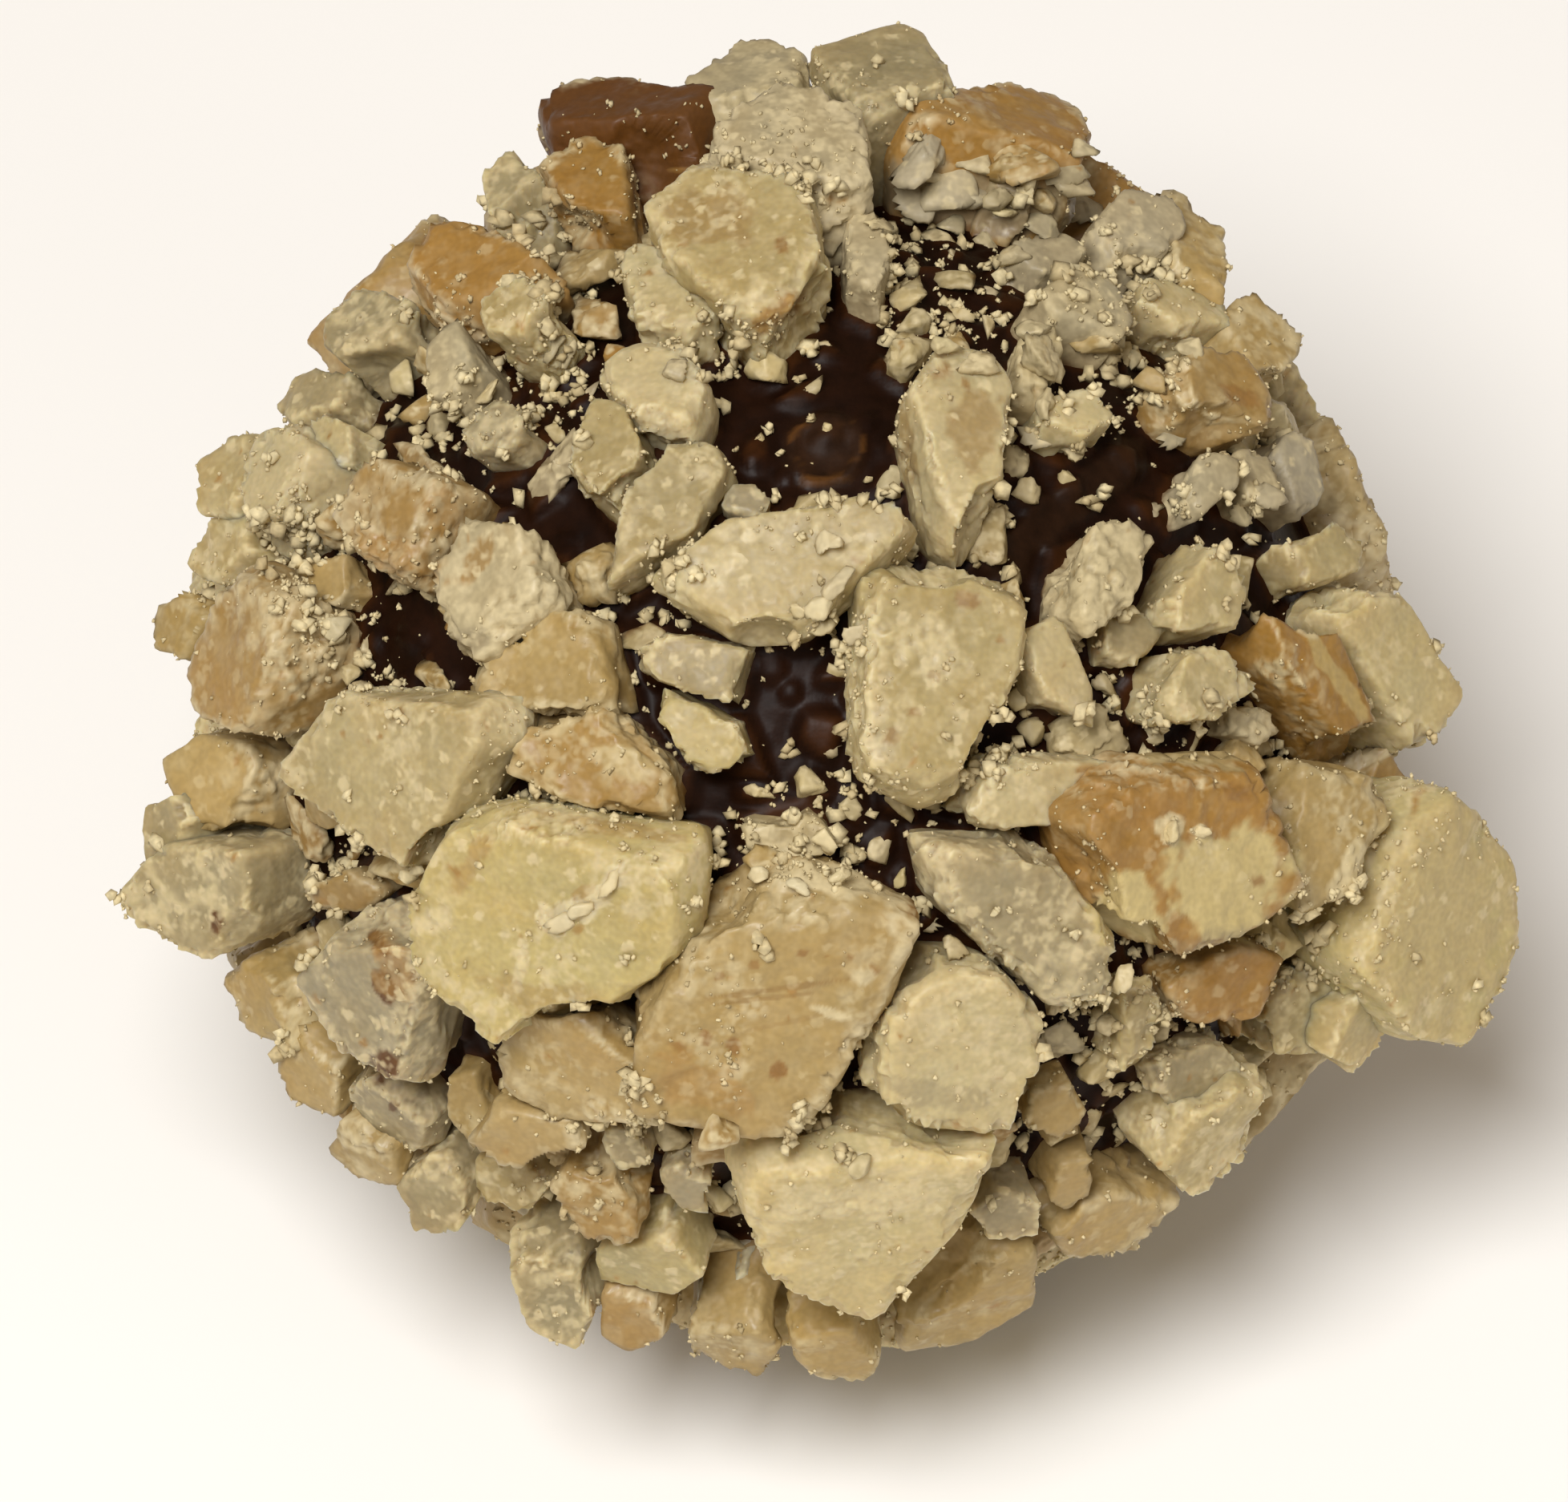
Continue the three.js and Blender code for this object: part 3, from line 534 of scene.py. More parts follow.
def ball_of_directions(fineness):
    if fineness in ball_cache:
        return ball_cache[fineness]
    steps = np.tan(np.linspace(-1, 1, fineness + 1) * math.pi / 4)
    u, v = np.meshgrid(steps, steps, indexing="ij")
    one = np.ones_like(u)
    sides = [(one, u, v), (-one, v, u), (v, one, u), (u, -one, v), (u, v, one), (v, u, -one)]
    points = np.concatenate([np.stack(side, -1).reshape(-1, 3) for side in sides])
    row = np.arange(fineness)
    first = (row[:, None] * (fineness + 1) + row[None, :]).reshape(-1)
    quad = np.stack([first, first + fineness + 1, first + fineness + 2, first + 1], 1)
    quads = np.concatenate([quad + k * (fineness + 1) ** 2 for k in range(6)])
    points = unit_rows(points)
    _, keep, back = np.unique(np.round(points, 6), axis=0, return_index=True, return_inverse=True)
    ball_cache[fineness] = points[keep], back.reshape(-1)[quads]
    return ball_cache[fineness]


def leaning_directions(fineness, outward):
    directions, quads = ball_of_directions(fineness)
    return unit_rows(directions + LEAN * outward), quads


points, quads = ball_of_directions(12)
print("a ball of fineness 12 has", len(points), "points and", len(quads), "faces")

# %% [markdown]
# In each direction every flat face has a pull: the harder it pulls, the nearer it holds the
# surface. With the hardest pull alone, edges would be as thin as a blade. So all faces
# count, each with a high power of its pull, and where two pull alike the edge rounds off.
# The same shares tell how near a point is to an edge. Scoops are cut last.

# %% How far a nut reaches
def reach_of(nut, directions, sharpness):
    """How far the nut reaches in each direction, and how near each point is to an edge."""
    pull = pulls(nut, directions)
    best = pull.max(1)
    shares = pull / best[:, None]
    reach = 1 / (best * (shares**sharpness).sum(1) ** (1 / sharpness))
    edge = 1 - 1 / (shares ** np.clip(3.5 * nut["size"], 5, 14)).sum(1)
    for centre, radius in nut["scoops"]:
        towards = directions @ centre
        inside = towards**2 - centre @ centre + radius**2
        entry = np.maximum(towards - np.sqrt(np.maximum(inside, 0)), 0.6 * reach)
        scooped = (inside > 0) & (towards > 0) & (entry < reach)
        reach = np.where(scooped, entry, reach)
    return reach, edge


reach, edge = reach_of(nuts[0], points, 26)
print("the first nut reaches", reach.min().round(2), "to", reach.max().round(2), "mm from its heart")

# %% [markdown]
# ## Relief
#
# Broken nut is never quite flat: the faces swell and sink, and where it crumbled there are
# grains. Two patterns make both. One fills space with random values on a lattice and blends
# between them, for soft swells. The other scatters one grain in each cell of a lattice and
# tells how far off the nearest grain is, for crumbs that stick together. Blender's own noise
# works point by point in Python, which is slow over half a million points, so these run on
# whole arrays.
#
# Both need numbers that look random, but are the same whenever the same cell of the lattice
# asks. So the three whole numbers of a cell are multiplied and mixed into one.

# %% A chance number for each cell of a lattice
BITS_32 = np.uint64(0xFFFFFFFF)


def lattice_chance(cell, seed):
    """A whole number below 2^32 for each cell of a lattice, the same in every run."""
    x, y, z = (cell[:, k].astype(np.uint64) for k in range(3))
    mixed = x * np.uint64(374761393) + y * np.uint64(668265263) + z * np.uint64(1274126177)
    mixed = (mixed + np.uint64(seed * 974711)) & BITS_32
    mixed = ((mixed ^ (mixed >> np.uint64(13))) * np.uint64(1103515245)) & BITS_32
    mixed = ((mixed ^ (mixed >> np.uint64(16))) * np.uint64(2246822519)) & BITS_32
    return mixed ^ (mixed >> np.uint64(15))


def ten_bits(chance, shift):
    """A value between -1 and 1 from ten of the bits of a chance number."""
    return (chance >> np.uint64(shift) & np.uint64(1023)) / 511.5 - 1


# %% [markdown]
# Noise blends the numbers at the eight corners of the cell that a point lies in. The blend
# starts and ends gently, so that no crease shows where two cells meet. One chance number
# holds three values of ten bits, enough for an arrow.

# %% Noise on whole arrays
def blended(points, size, seed, columns):
    spot = points / size + 1000.0
    cell = np.floor(spot).astype(np.int64)
    part = spot - cell
    part = part * part * (3 - 2 * part)
    total = np.zeros((len(points), columns))
    for corner in range(8):
        step = np.array([corner & 1, corner >> 1 & 1, corner >> 2 & 1])
        weight = np.prod(np.where(step, part, 1 - part), axis=1)
        chance = lattice_chance(cell + step, seed)
        for column in range(columns):
            total[:, column] += weight * ten_bits(chance, 10 * column)
    return total


def noise(points, size, seed):
    """Smooth values between -1 and 1, with bumps about as wide as size."""
    return blended(points, size, seed, 1)[:, 0]


def sway(points, size, seed):
    """Smooth arrows, each of whose three parts lies between -1 and 1."""
    return blended(points, size, seed, 3)


sample = noise(5 * points, 1.0, 0)
print("noise runs from", sample.min().round(2), "to", sample.max().round(2))

# %% [markdown]
# Grains are a Worley pattern: the grain nearest to a point decides. Eight cells round the
# point are enough to search, because a grain never strays far from the middle of its cell.

# %% Grains, and a soft step
def grains(points, size, seed):
    """1 on the middle of the nearest grain and less between grains, and a value for each grain."""
    spot = points / size + 1000.0
    cell = np.floor(spot - 0.5).astype(np.int64)
    nearest = np.full(len(points), 9.0)
    value = np.zeros(len(points))
    for step in np.ndindex(2, 2, 2):
        there = cell + np.array(step)
        chance = lattice_chance(there, seed)
        jitter = np.stack([ten_bits(chance, shift) for shift in (0, 10, 20)], 1)
        distance = np.linalg.norm(there + 0.5 + 0.34 * jitter - spot, axis=1)
        value = np.where(distance < nearest, ten_bits(chance, 5), value)
        nearest = np.minimum(nearest, distance)
    return 1 - nearest**2, value


def ramp(values, low, high):
    """0 below low, 1 above high, and a smooth climb between."""
    share = np.clip((values - low) / (high - low), 0, 1)
    return share * share * (3 - 2 * share)


# %% [markdown]
# ## Kinds of nut
#
# Blanched hazelnut is pale yellow, thin edges of it look grey and sheer, toasting turns it
# tan and then amber, and the skin is dark brown. A kind holds its colour, how much of it is
# crumbled to white grains, how sharp its edges are and how strong its white mottles are.

# %% Kinds of nut
KINDS = {
    "pale": {"colour": (0.352, 0.273, 0.122), "crumbled": 0.36, "sharpness": 26, "mottled": 0.65},
    "cream": {"colour": (0.450, 0.362, 0.182), "crumbled": 0.44, "sharpness": 22, "mottled": 0.65},
    "green": {"colour": (0.400, 0.320, 0.136), "crumbled": 0.20, "sharpness": 30, "mottled": 0.45},
    "tan": {"colour": (0.335, 0.229, 0.082), "crumbled": 0.28, "sharpness": 28, "mottled": 0.40},
    "toasted": {"colour": (0.290, 0.178, 0.054), "crumbled": 0.48, "sharpness": 20, "mottled": 0.50},
    "amber": {"colour": (0.285, 0.152, 0.033), "crumbled": 0.18, "sharpness": 24, "mottled": 0.20},
    "sheer": {"colour": (0.285, 0.230, 0.124), "crumbled": 0.38, "sharpness": 22, "mottled": 0.60},
    "papery": {"colour": (0.350, 0.288, 0.170), "crumbled": 0.44, "sharpness": 18, "mottled": 0.60},
    "flat": {"colour": (0.345, 0.288, 0.178), "crumbled": 0.10, "sharpness": 28, "mottled": 0.30},
    "chalky": {"colour": (0.345, 0.276, 0.148), "crumbled": 0.80, "sharpness": 18, "mottled": 0.60},
    "bright": {"colour": (0.550, 0.462, 0.272), "crumbled": 0.50, "sharpness": 18, "mottled": 0.60},
    "skin": {"colour": (0.098, 0.036, 0.006), "crumbled": 0.00, "sharpness": 28, "mottled": 0.00},
}
COLOURS = {
    "white": (0.550, 0.457, 0.266),
    "cream": (0.485, 0.385, 0.170),
    "pale": (0.430, 0.335, 0.155),
    "yellow": (0.410, 0.305, 0.115),
    "grey": (0.235, 0.188, 0.110),
    "tan": (0.270, 0.168, 0.056),
    "orange": (0.300, 0.160, 0.040),
    "rust": (0.235, 0.120, 0.032),
    "brown": (0.105, 0.044, 0.010),
}
# the brown of the chocolate's stain, and of the painted shade on the lower walls of nuts
STAIN_AND_SHADE_COLOUR = np.array([0.110, 0.045, 0.012])
print(len(KINDS), "kinds of nut,", len(COLOURS), "colours for what is on them")

# %% [markdown]
# Some marks belong to one nut: the skin left in a fold, the pits of a cut, a corner that
# broke white. They are painted at their own places on the best side. Two of the grey ones
# are painted shade on the lower walls of nuts. Each row holds x, y, length, width, turn in
# degrees, colour and strength.

# %% Marks on the best side
MARKS = [
    (-6.0, -4.9, 1.3, 0.8, 20, "white", 0.95), (-5.2, -4.6, 1.5, 0.6, 45, "white", 0.95),
    (-4.7, -4.0, 0.9, 0.6, 70, "white", 0.95), (-4.2, -4.7, 0.7, 0.5, 0, "white", 0.5),
    (-7.0, -6.2, 0.9, 0.35, 80, "white", 0.6), (-2.7, -3.6, 1.3, 0.4, 80, "white", 0.8),
    (-9.2, -5.0, 1.2, 0.7, 30, "white", 0.6), (0.3, -3.9, 3.4, 0.8, -10, "white", 0.7),
    (-5.5, -4.3, 0.5, 0.3, 30, "orange", 0.5), (-2.4, 12.5, 2.2, 1.6, 0, "tan", 0.6),
    (-8.2, -3.5, 1.6, 0.5, 60, "orange", 0.45), (-4.6, -2.7, 3.6, 0.4, -10, "orange", 0.45),
    (-5.6, -5.2, 0.4, 0.35, 0, "orange", 0.7), (-5.6, -7.2, 4.4, 0.9, -15, "tan", 0.45),
    (-3.1, -8.1, 0.2, 0.4, 70, "rust", 0.8), (-2.4, -7.9, 0.25, 0.5, 10, "rust", 0.9),
    (-1.7, -8.1, 0.35, 0.5, 10, "rust", 0.9), (-0.6, -8.7, 0.5, 0.4, 40, "rust", 1.0),
    (0.0, -5.8, 0.25, 0.2, 0, "rust", 0.8), (1.2, -5.9, 0.22, 0.2, 0, "rust", 0.7),
    (-1.2, -6.1, 0.25, 0.2, 20, "rust", 0.7), (-2.1, -6.4, 0.25, 0.2, 10, "rust", 0.7),
    (0.6, -5.85, 0.2, 0.2, 0, "rust", 0.6), (1.8, -6.2, 0.25, 0.2, 0, "rust", 0.7),
    (2.8, -4.7, 0.5, 0.4, 60, "rust", 1.0), (-0.6, -6.7, 3.8, 0.16, 8, "tan", 0.9),
    (-1.0, -6.95, 2.6, 0.14, 6, "tan", 0.8), (-0.2, -7.5, 2.8, 0.14, 12, "tan", 0.5),
    (0.7, -7.3, 1.2, 0.4, -20, "white", 0.6), (1.5, -6.4, 0.6, 0.4, 0, "white", 0.6),
    (-2.4, -9.1, 2.6, 1.2, -20, "orange", 0.5), (4.1, 3.0, 0.6, 0.45, -20, "rust", 0.7),
    (3.3, 1.1, 0.4, 0.45, 0, "rust", 0.7), (2.8, 0.2, 0.45, 0.35, 0, "rust", 0.7),
    (2.2, -0.4, 0.35, 0.4, 0, "rust", 0.6), (1.4, 4.0, 0.4, 0.3, 0, "rust", 0.6),
    (-10.6, -5.5, 0.4, 0.8, 20, "brown", 1.0), (-10.4, -6.6, 0.5, 1.1, 20, "brown", 1.0),
    (-10.3, -6.0, 0.9, 1.9, 20, "orange", 0.6), (-10.4, -8.7, 0.8, 0.7, -40, "brown", 1.0),
    (-10.2, -9.6, 0.3, 0.3, 0, "brown", 0.9), (-14.6, -5.0, 0.4, 0.6, 0, "brown", 1.0),
    (-0.6, 10.2, 1.6, 0.7, 40, "orange", 0.8), (-0.5, 11.9, 0.3, 0.4, 0, "rust", 0.8),
    (3.5, 8.7, 0.7, 0.35, 20, "rust", 0.8), (4.1, 8.4, 0.5, 0.3, -60, "rust", 0.8),
    (4.3, 7.4, 1.2, 2.2, 0, "tan", 0.6), (2.6, 6.8, 0.5, 2.0, 10, "tan", 0.6),
    (8.4, -1.9, 3.0, 1.7, -8, "orange", 0.85), (10.6, -4.1, 3.6, 2.8, -8, "cream", 0.95),
    (8.1, -4.7, 2.0, 1.8, 0, "cream", 0.95), (9.8, -0.9, 3.2, 0.6, -4, "pale", 0.8),
    (9.1, -2.7, 0.9, 0.7, 60, "white", 0.9), (9.9, -2.75, 0.6, 0.4, 10, "white", 0.9),
    # the grey mark at 10.6, -5.6 is painted shade on the lower wall of two_tone
    (10.8, -1.8, 0.8, 0.4, -25, "rust", 0.8), (10.6, -5.6, 3.0, 0.7, 5, "grey", 0.4),
    (11.4, -4.0, 0.4, 0.3, 0, "rust", 0.8), (13.7, -3.8, 1.7, 0.9, 60, "white", 0.8),
    (-8.1, 4.1, 1.2, 0.6, 60, "tan", 0.9), (-8.2, 2.0, 0.9, 0.6, 20, "grey", 0.6),
    # the grey mark at 3.3, -9.3 is painted shade on the lower side of round_cream
    (3.3, -9.3, 2.6, 0.7, -8, "grey", 0.4), (11.0, 8.1, 1.3, 0.5, -25, "rust", 0.8),
    (-4.4, -1.1, 1.6, 0.7, -20, "pale", 0.6), (-2.6, 3.6, 2.2, 1.0, 30, "white", 0.5),
    (3.2, 1.8, 2.6, 1.4, -60, "white", 0.45), (1.6, -12.0, 3.6, 0.9, 5, "white", 0.55),
    (4.6, 12.9, 5.4, 1.6, -4, "grey", 0.8), (13.4, 1.0, 2.6, 0.4, -55, "yellow", 0.7),
    (12.4, 2.4, 0.8, 0.3, -40, "white", 0.6), (14.2, -0.4, 0.7, 0.3, -50, "white", 0.6),
    (15.9, -4.9, 3.6, 6.0, 0, "pale", 0.9), (-10.1, 4.1, 2.8, 0.9, -25, "orange", 0.65),
    (-9.0, 5.4, 0.9, 1.9, 20, "orange", 0.55), (-10.9, 5.3, 0.8, 1.6, -20, "tan", 0.5),
]


# %% [markdown]
# A mark is a soft oval with a ragged outline. It is tested where a point is seen, at its x
# and y, so a mark may run across an edge of the nut, as a real stain does.

# %% Paint the marks
def mark_shares(place):
    """For each mark its colour, and how strongly it covers points measured from the ball's middle."""
    x, y = drawn_place(place)
    facing = place @ TO_VIEWER > 0
    ragged = 0.45 * noise(place, 0.45, 30) + 0.2 * noise(place, 0.2, 31)
    for mark_x, mark_y, length, width, turn, name, strength in MARKS:
        angle = math.radians(turn)
        right, up = x - mark_x, y - mark_y
        along = (right * math.cos(angle) + up * math.sin(angle)) * 2 / length
        aside = (up * math.cos(angle) - right * math.sin(angle)) * 2 / width
        yield name, strength * facing * (1 - ramp(np.hypot(along, aside) + ragged, 0.8, 1.1))


def painted(colour, place):
    for name, share in mark_shares(place):
        colour = colour + (np.array(COLOURS[name]) - colour) * share[:, None]
    return colour


def broken_white(place):
    """Where the white marks lie: there the nut broke instead of being cut, and is crumbly."""
    return np.max([share for name, share in mark_shares(place) if name == "white"], axis=0)


print(len(MARKS), "marks, the longest", max(mark[2] for mark in MARKS), "mm")

# %% [markdown]
# One nut is then the ball of directions, pushed out to the flat faces, with relief. The
# directions sway a little first, so that edges wander while the faces stay flat. Where an
# edge broke, whole grains are missing.

# %% Build one nut
EDGE_SWAY = 0.22  # all in millimetres
WAX_SWELL = 0.045
FINE_SWELL = 0.012
CHIPPED = 0.18
CHIP_SIZE = 0.42
GRAIN_SIZE = 0.28
GRAIN_HEIGHT = 0.16
FULL_RELIEF_SIZE = 2.0  # a nut of this size or more has relief of full height


def nut_surface(nut, fineness, seed, marked=False):
    """Points, quads, colours, how bruised each point is, and how near it is to an edge."""
    kind, size = KINDS[nut["kind"]], nut["size"]
    scale = min(size / FULL_RELIEF_SIZE, 1.0)
    directions, quads = leaning_directions(fineness, unit(nut["heart"]))
    patch = 7.0 * seed  # each nut has its own patch of the patterns
    swaying = sway(directions * size + patch, 1.3, 11) + 0.5 * sway(directions * size + patch, 0.45, 12)
    bent = unit_rows(directions + EDGE_SWAY * scale / size * swaying)
    reach, edge = reach_of(nut, bent, kind["sharpness"] / max(scale, 0.5))
    own = directions * reach[:, None] + patch
    grain, grain_value = grains(own, GRAIN_SIZE, 4)
    chip, chip_value = grains(own, CHIP_SIZE, 6)
    level = 1.0 - 1.3 * kind["crumbled"]
    crumbled = ramp(noise(own, 1.3, 1) + 0.8 * ramp(edge, 0.1, 0.5), level, level + 0.5)
    if marked:
        crumbled = np.maximum(crumbled, broken_white(directions * reach[:, None] + nut["heart"]))
    relief = WAX_SWELL * (noise(own, 1.7, 2) + 0.5 * noise(own, 0.7, 3))
    relief += FINE_SWELL * noise(own, 0.25, 5)
    relief += crumbled * GRAIN_HEIGHT * (grain - 0.65 + 0.35 * grain_value)
    brittle = ramp(noise(own, 2.0, 16) + kind["crumbled"], 0.05, 0.5)
    relief -= CHIPPED * brittle * ramp(edge, 0.15, 0.45) * ramp(chip_value, -0.1, 0.2) * (0.4 + 0.6 * chip)
    place = directions * (reach + scale * relief)[:, None] + nut["heart"]
    bruised = np.maximum(crumbled, ramp(noise(own, 1.5, 17) + kind["mottled"], 0.45, 0.95))
    colour = nut["tone"] * nut_colour(kind, own, edge, crumbled, bruised, grain)
    # the marks, then the chocolate's stain and painted shade on the lower walls
    colour = stained_and_shaded(painted(colour, place) if marked else colour, place, own, scale)
    return place, quads, colour, bruised, edge


# %% [markdown]
# The colour is worked out point by point and kept as a colour attribute: whiter in soft
# mottles, at worn edges and on grains, brown in flecks, and stained orange-brown where the
# soft chocolate climbed it. Painted shade makes the hollows between grains darker and
# warmer, and browns the lower walls of a nut a little, up to about two millimetres above the
# ball.

# %% The colour of one nut
FLECK_LEVEL = 0.86  # nearer to 1, fewer flecks


def nut_colour(kind, own, edge, crumbled, bruised, grain):
    patch = noise(own, 1.9, 7)[:, None]
    warm = noise(own, 1.1, 8)[:, None]
    colour = np.array(kind["colour"]) * (1 + 0.10 * patch) * (1 + np.array([0.03, -0.01, -0.08]) * warm)
    mottle = ramp(noise(own, 0.42, 13) + 0.6 * noise(own, 0.24, 14), -0.1, 0.8)
    white = (0.25 * kind["mottled"] + 0.5 * bruised) * mottle
    white = np.maximum(white, 0.8 * crumbled * ramp(grain, 0.5, 0.9))
    white = np.maximum(white, 0.35 * kind["mottled"] * ramp(edge, 0.25, 0.6))[:, None]
    colour = colour + (np.array(COLOURS["white"]) - colour) * white
    # painted shade: the hollows between grains are darker and warmer
    hollow_shade = (crumbled * (1 - ramp(grain, 0.2, 0.6)))[:, None]
    colour = colour * (1 - np.array([0.16, 0.24, 0.36]) * hollow_shade)
    fleck = ramp(noise(own, 0.5, 9) + 0.3 * noise(own, 0.2, 15), FLECK_LEVEL, FLECK_LEVEL + 0.12)[:, None]
    return colour + (np.array(COLOURS["orange"]) - colour) * 0.8 * fleck


def stained_and_shaded(colour, place, own, scale):
    above = (np.linalg.norm(place, axis=1) - BALL_RADIUS) / scale - 0.18 * noise(own, 0.5, 10)
    # a strong narrow band just above the chocolate is its stain; a weak band up to about two millimetres up
    # the lower walls is painted shade
    stain_and_shade = np.maximum(0.9 * (1 - ramp(above, 0.1, 0.5)), 0.22 * (1 - ramp(above, 0.2, 2.1)))
    return np.clip(colour + (STAIN_AND_SHADE_COLOUR - colour) * stain_and_shade[:, None], 0.004, 1)


# %% [markdown]
# ## Bits between the nuts
#
# Between the chunks and on them lie smaller bits, which the solid leaves out. A rule could
# scatter them all, but on the best side each has its own place, so those are rows of a
# table: kind, x, y, length, width and turn.

# %% Bits listed one by one
BITS = [
    ("cream", -0.9, 8.6, 1.1, 1.0, 0), ("cream", 0.2, 8.15, 1.3, 0.5, 20),
    ("papery", 0.75, 9.1, 0.9, 0.6, -60), ("pale", -1.15, 6.8, 0.8, 0.45, 80),
    ("cream", 0.7, 7.1, 0.6, 0.5, 40), ("cream", 2.15, 5.95, 0.95, 0.7, -30),
    ("flat", 3.1, 13.9, 2.7, 2.1, 10), ("flat", 2.9, 12.9, 1.9, 1.2, -10),
    ("toasted", 5.4, 13.7, 1.9, 1.6, -20), ("tan", 5.9, 12.9, 0.9, 0.7, -40),
    ("flat", 7.0, 12.5, 1.6, 1.2, 10), ("flat", 6.7, 13.3, 1.3, 1.0, 30),
    ("papery", 2.5, 12.6, 1.4, 0.4, -20), ("papery", 4.1, 12.4, 1.0, 0.4, -10),
    ("papery", 3.35, 11.9, 0.95, 0.7, 10), ("papery", 4.6, 11.9, 0.8, 0.65, 30),
    ("cream", 5.0, 12.6, 0.9, 0.5, 20), ("papery", 2.5, 11.5, 0.8, 0.6, 60),
    ("cream", 2.7, 10.8, 0.5, 0.4, 0), ("pale", 3.7, 10.75, 1.4, 0.8, -40),
    ("papery", 4.8, 11.0, 0.9, 0.4, 40), ("pale", 2.8, 9.65, 1.0, 0.8, 70),
    ("cream", 3.9, 10.0, 1.0, 0.5, -20), ("flat", 5.2, 10.3, 0.9, 0.7, 60),
    ("papery", 5.6, 12.4, 0.8, 0.4, 0), ("chalky", 5.7, 9.7, 1.0, 0.6, 10),
    ("chalky", 5.8, 9.0, 1.0, 1.5, 10), ("cream", 3.7, 9.3, 1.1, 0.6, 10),
    ("chalky", 4.4, 8.7, 1.3, 0.9, 60), ("tan", 7.3, 9.3, 1.6, 0.6, -20),
    ("pale", 7.9, 8.9, 1.1, 0.7, 70), ("tan", 8.6, 8.2, 1.2, 0.9, 60),
    ("flat", 9.1, 7.1, 1.2, 0.8, 25), ("papery", 6.9, 6.7, 1.2, 0.7, -15),
    ("papery", 7.9, 6.45, 1.0, 0.6, 20), ("papery", 5.75, 7.0, 1.2, 0.7, 25),
    ("sheer", 5.2, 6.5, 1.2, 0.8, 70), ("cream", 5.6, 5.65, 0.8, 0.7, 0),
    ("cream", 6.5, 5.9, 0.8, 0.5, -50), ("papery", 8.7, 5.1, 1.0, 0.8, -20),
    ("flat", 10.9, 5.2, 1.0, 0.7, -50), ("papery", 11.6, 5.6, 1.5, 0.7, -65),
    ("papery", 9.6, 9.2, 1.0, 0.7, 0), ("chalky", 6.1, 7.8, 0.9, 0.7, 80),
    ("sheer", 0.7, -0.3, 1.2, 1.0, 30), ("cream", 0.2, -1.6, 0.95, 0.8, -50),
    ("cream", 2.05, -3.2, 0.9, 0.8, 40), ("cream", 5.75, -0.2, 1.0, 0.8, 0),
    ("cream", 8.7, -0.4, 0.7, 0.6, 0), ("cream", 5.3, 0.6, 0.7, 0.6, 0),
    ("cream", -1.0, -1.8, 1.0, 0.7, -40), ("bright", 0.6, -3.0, 0.9, 0.7, 30),
    ("tan", -0.9, -3.4, 1.1, 0.8, 0), ("bright", 1.0, -3.9, 1.0, 0.6, 20),
    ("bright", -1.2, -3.9, 0.8, 0.5, -20), ("bright", 0.1, -4.1, 0.9, 0.5, 0),
    ("cream", -9.6, 8.5, 1.1, 1.0, 0), ("cream", -7.9, 8.2, 1.0, 0.7, 30),
    ("papery", -5.9, 9.0, 1.4, 0.5, 70), ("papery", -6.6, 8.0, 1.2, 0.4, 60),
    ("cream", -0.2, 2.6, 0.8, 0.6, 20), ("pale", -4.2, 1.9, 2.0, 0.8, -20),
    ("cream", 0.9, 1.1, 0.9, 0.7, 60), ("cream", 0.5, 2.3, 0.9, 0.7, 10),
    ("bright", 0.9, 3.4, 1.1, 0.8, 70), ("bright", 0.6, 4.4, 0.9, 0.7, 20),
    ("bright", 0.4, 2.7, 0.8, 0.6, 70), ("bright", 1.3, 2.2, 0.7, 0.5, 40),
    ("toasted", -2.3, -10.2, 1.3, 1.0, -10), ("cream", 1.3, -11.0, 0.9, 0.7, 30),
    ("papery", -5.4, 7.9, 1.5, 0.4, 55), ("papery", -6.2, 9.2, 1.3, 0.4, 85),
    ("cream", -8.9, 7.4, 1.0, 0.8, 10), ("papery", -3.3, 8.6, 1.2, 0.8, 40),
    ("bright", -11.4, 2.3, 1.0, 0.8, 20), ("cream", -11.2, 1.2, 0.8, 0.7, 50),
    ("chalky", -10.6, 1.9, 0.8, 0.6, 0), ("papery", -7.3, 6.0, 1.2, 0.6, 30),
    ("chalky", 3.0, -4.9, 1.0, 0.6, -60), ("chalky", 3.8, -5.7, 0.9, 0.6, -50),
    ("chalky", 7.6, -7.4, 0.9, 0.8, 0), ("cream", 7.9, -6.4, 0.8, 0.6, 40),
    ("bright", -4.9, -4.2, 1.3, 0.5, 55), ("bright", -6.0, -5.1, 1.0, 0.5, 10),
    ("bright", -5.5, -4.7, 0.9, 0.5, 40), ("bright", 9.1, -2.7, 0.9, 0.6, 60),
    ("flat", 3.7, 12.3, 1.2, 0.8, 30), ("papery", 4.5, 10.5, 1.1, 0.7, 10),
    ("flat", 3.2, 11.1, 1.0, 0.7, -30), ("cream", 4.5, 9.7, 0.8, 0.6, 0),
    ("papery", 1.9, 12.3, 1.0, 0.6, 60), ("flat", 5.3, 11.5, 1.0, 0.7, 0),
    ("bright", 9.9, -2.75, 0.6, 0.4, 10), ("chalky", 4.9, 12.9, 1.1, 0.7, 0),
    ("flat", 4.3, 13.1, 1.5, 1.1, 70), ("flat", 7.0, 14.2, 0.9, 0.7, -20),
]

# %% [markdown]
# A few patches of the best side stay bare, because that is where the chocolate shows. Each is
# an oval: x, y, half its width and half its height. Its edge is soft, so that what lies round
# it thins out and doesn't stop at a line.

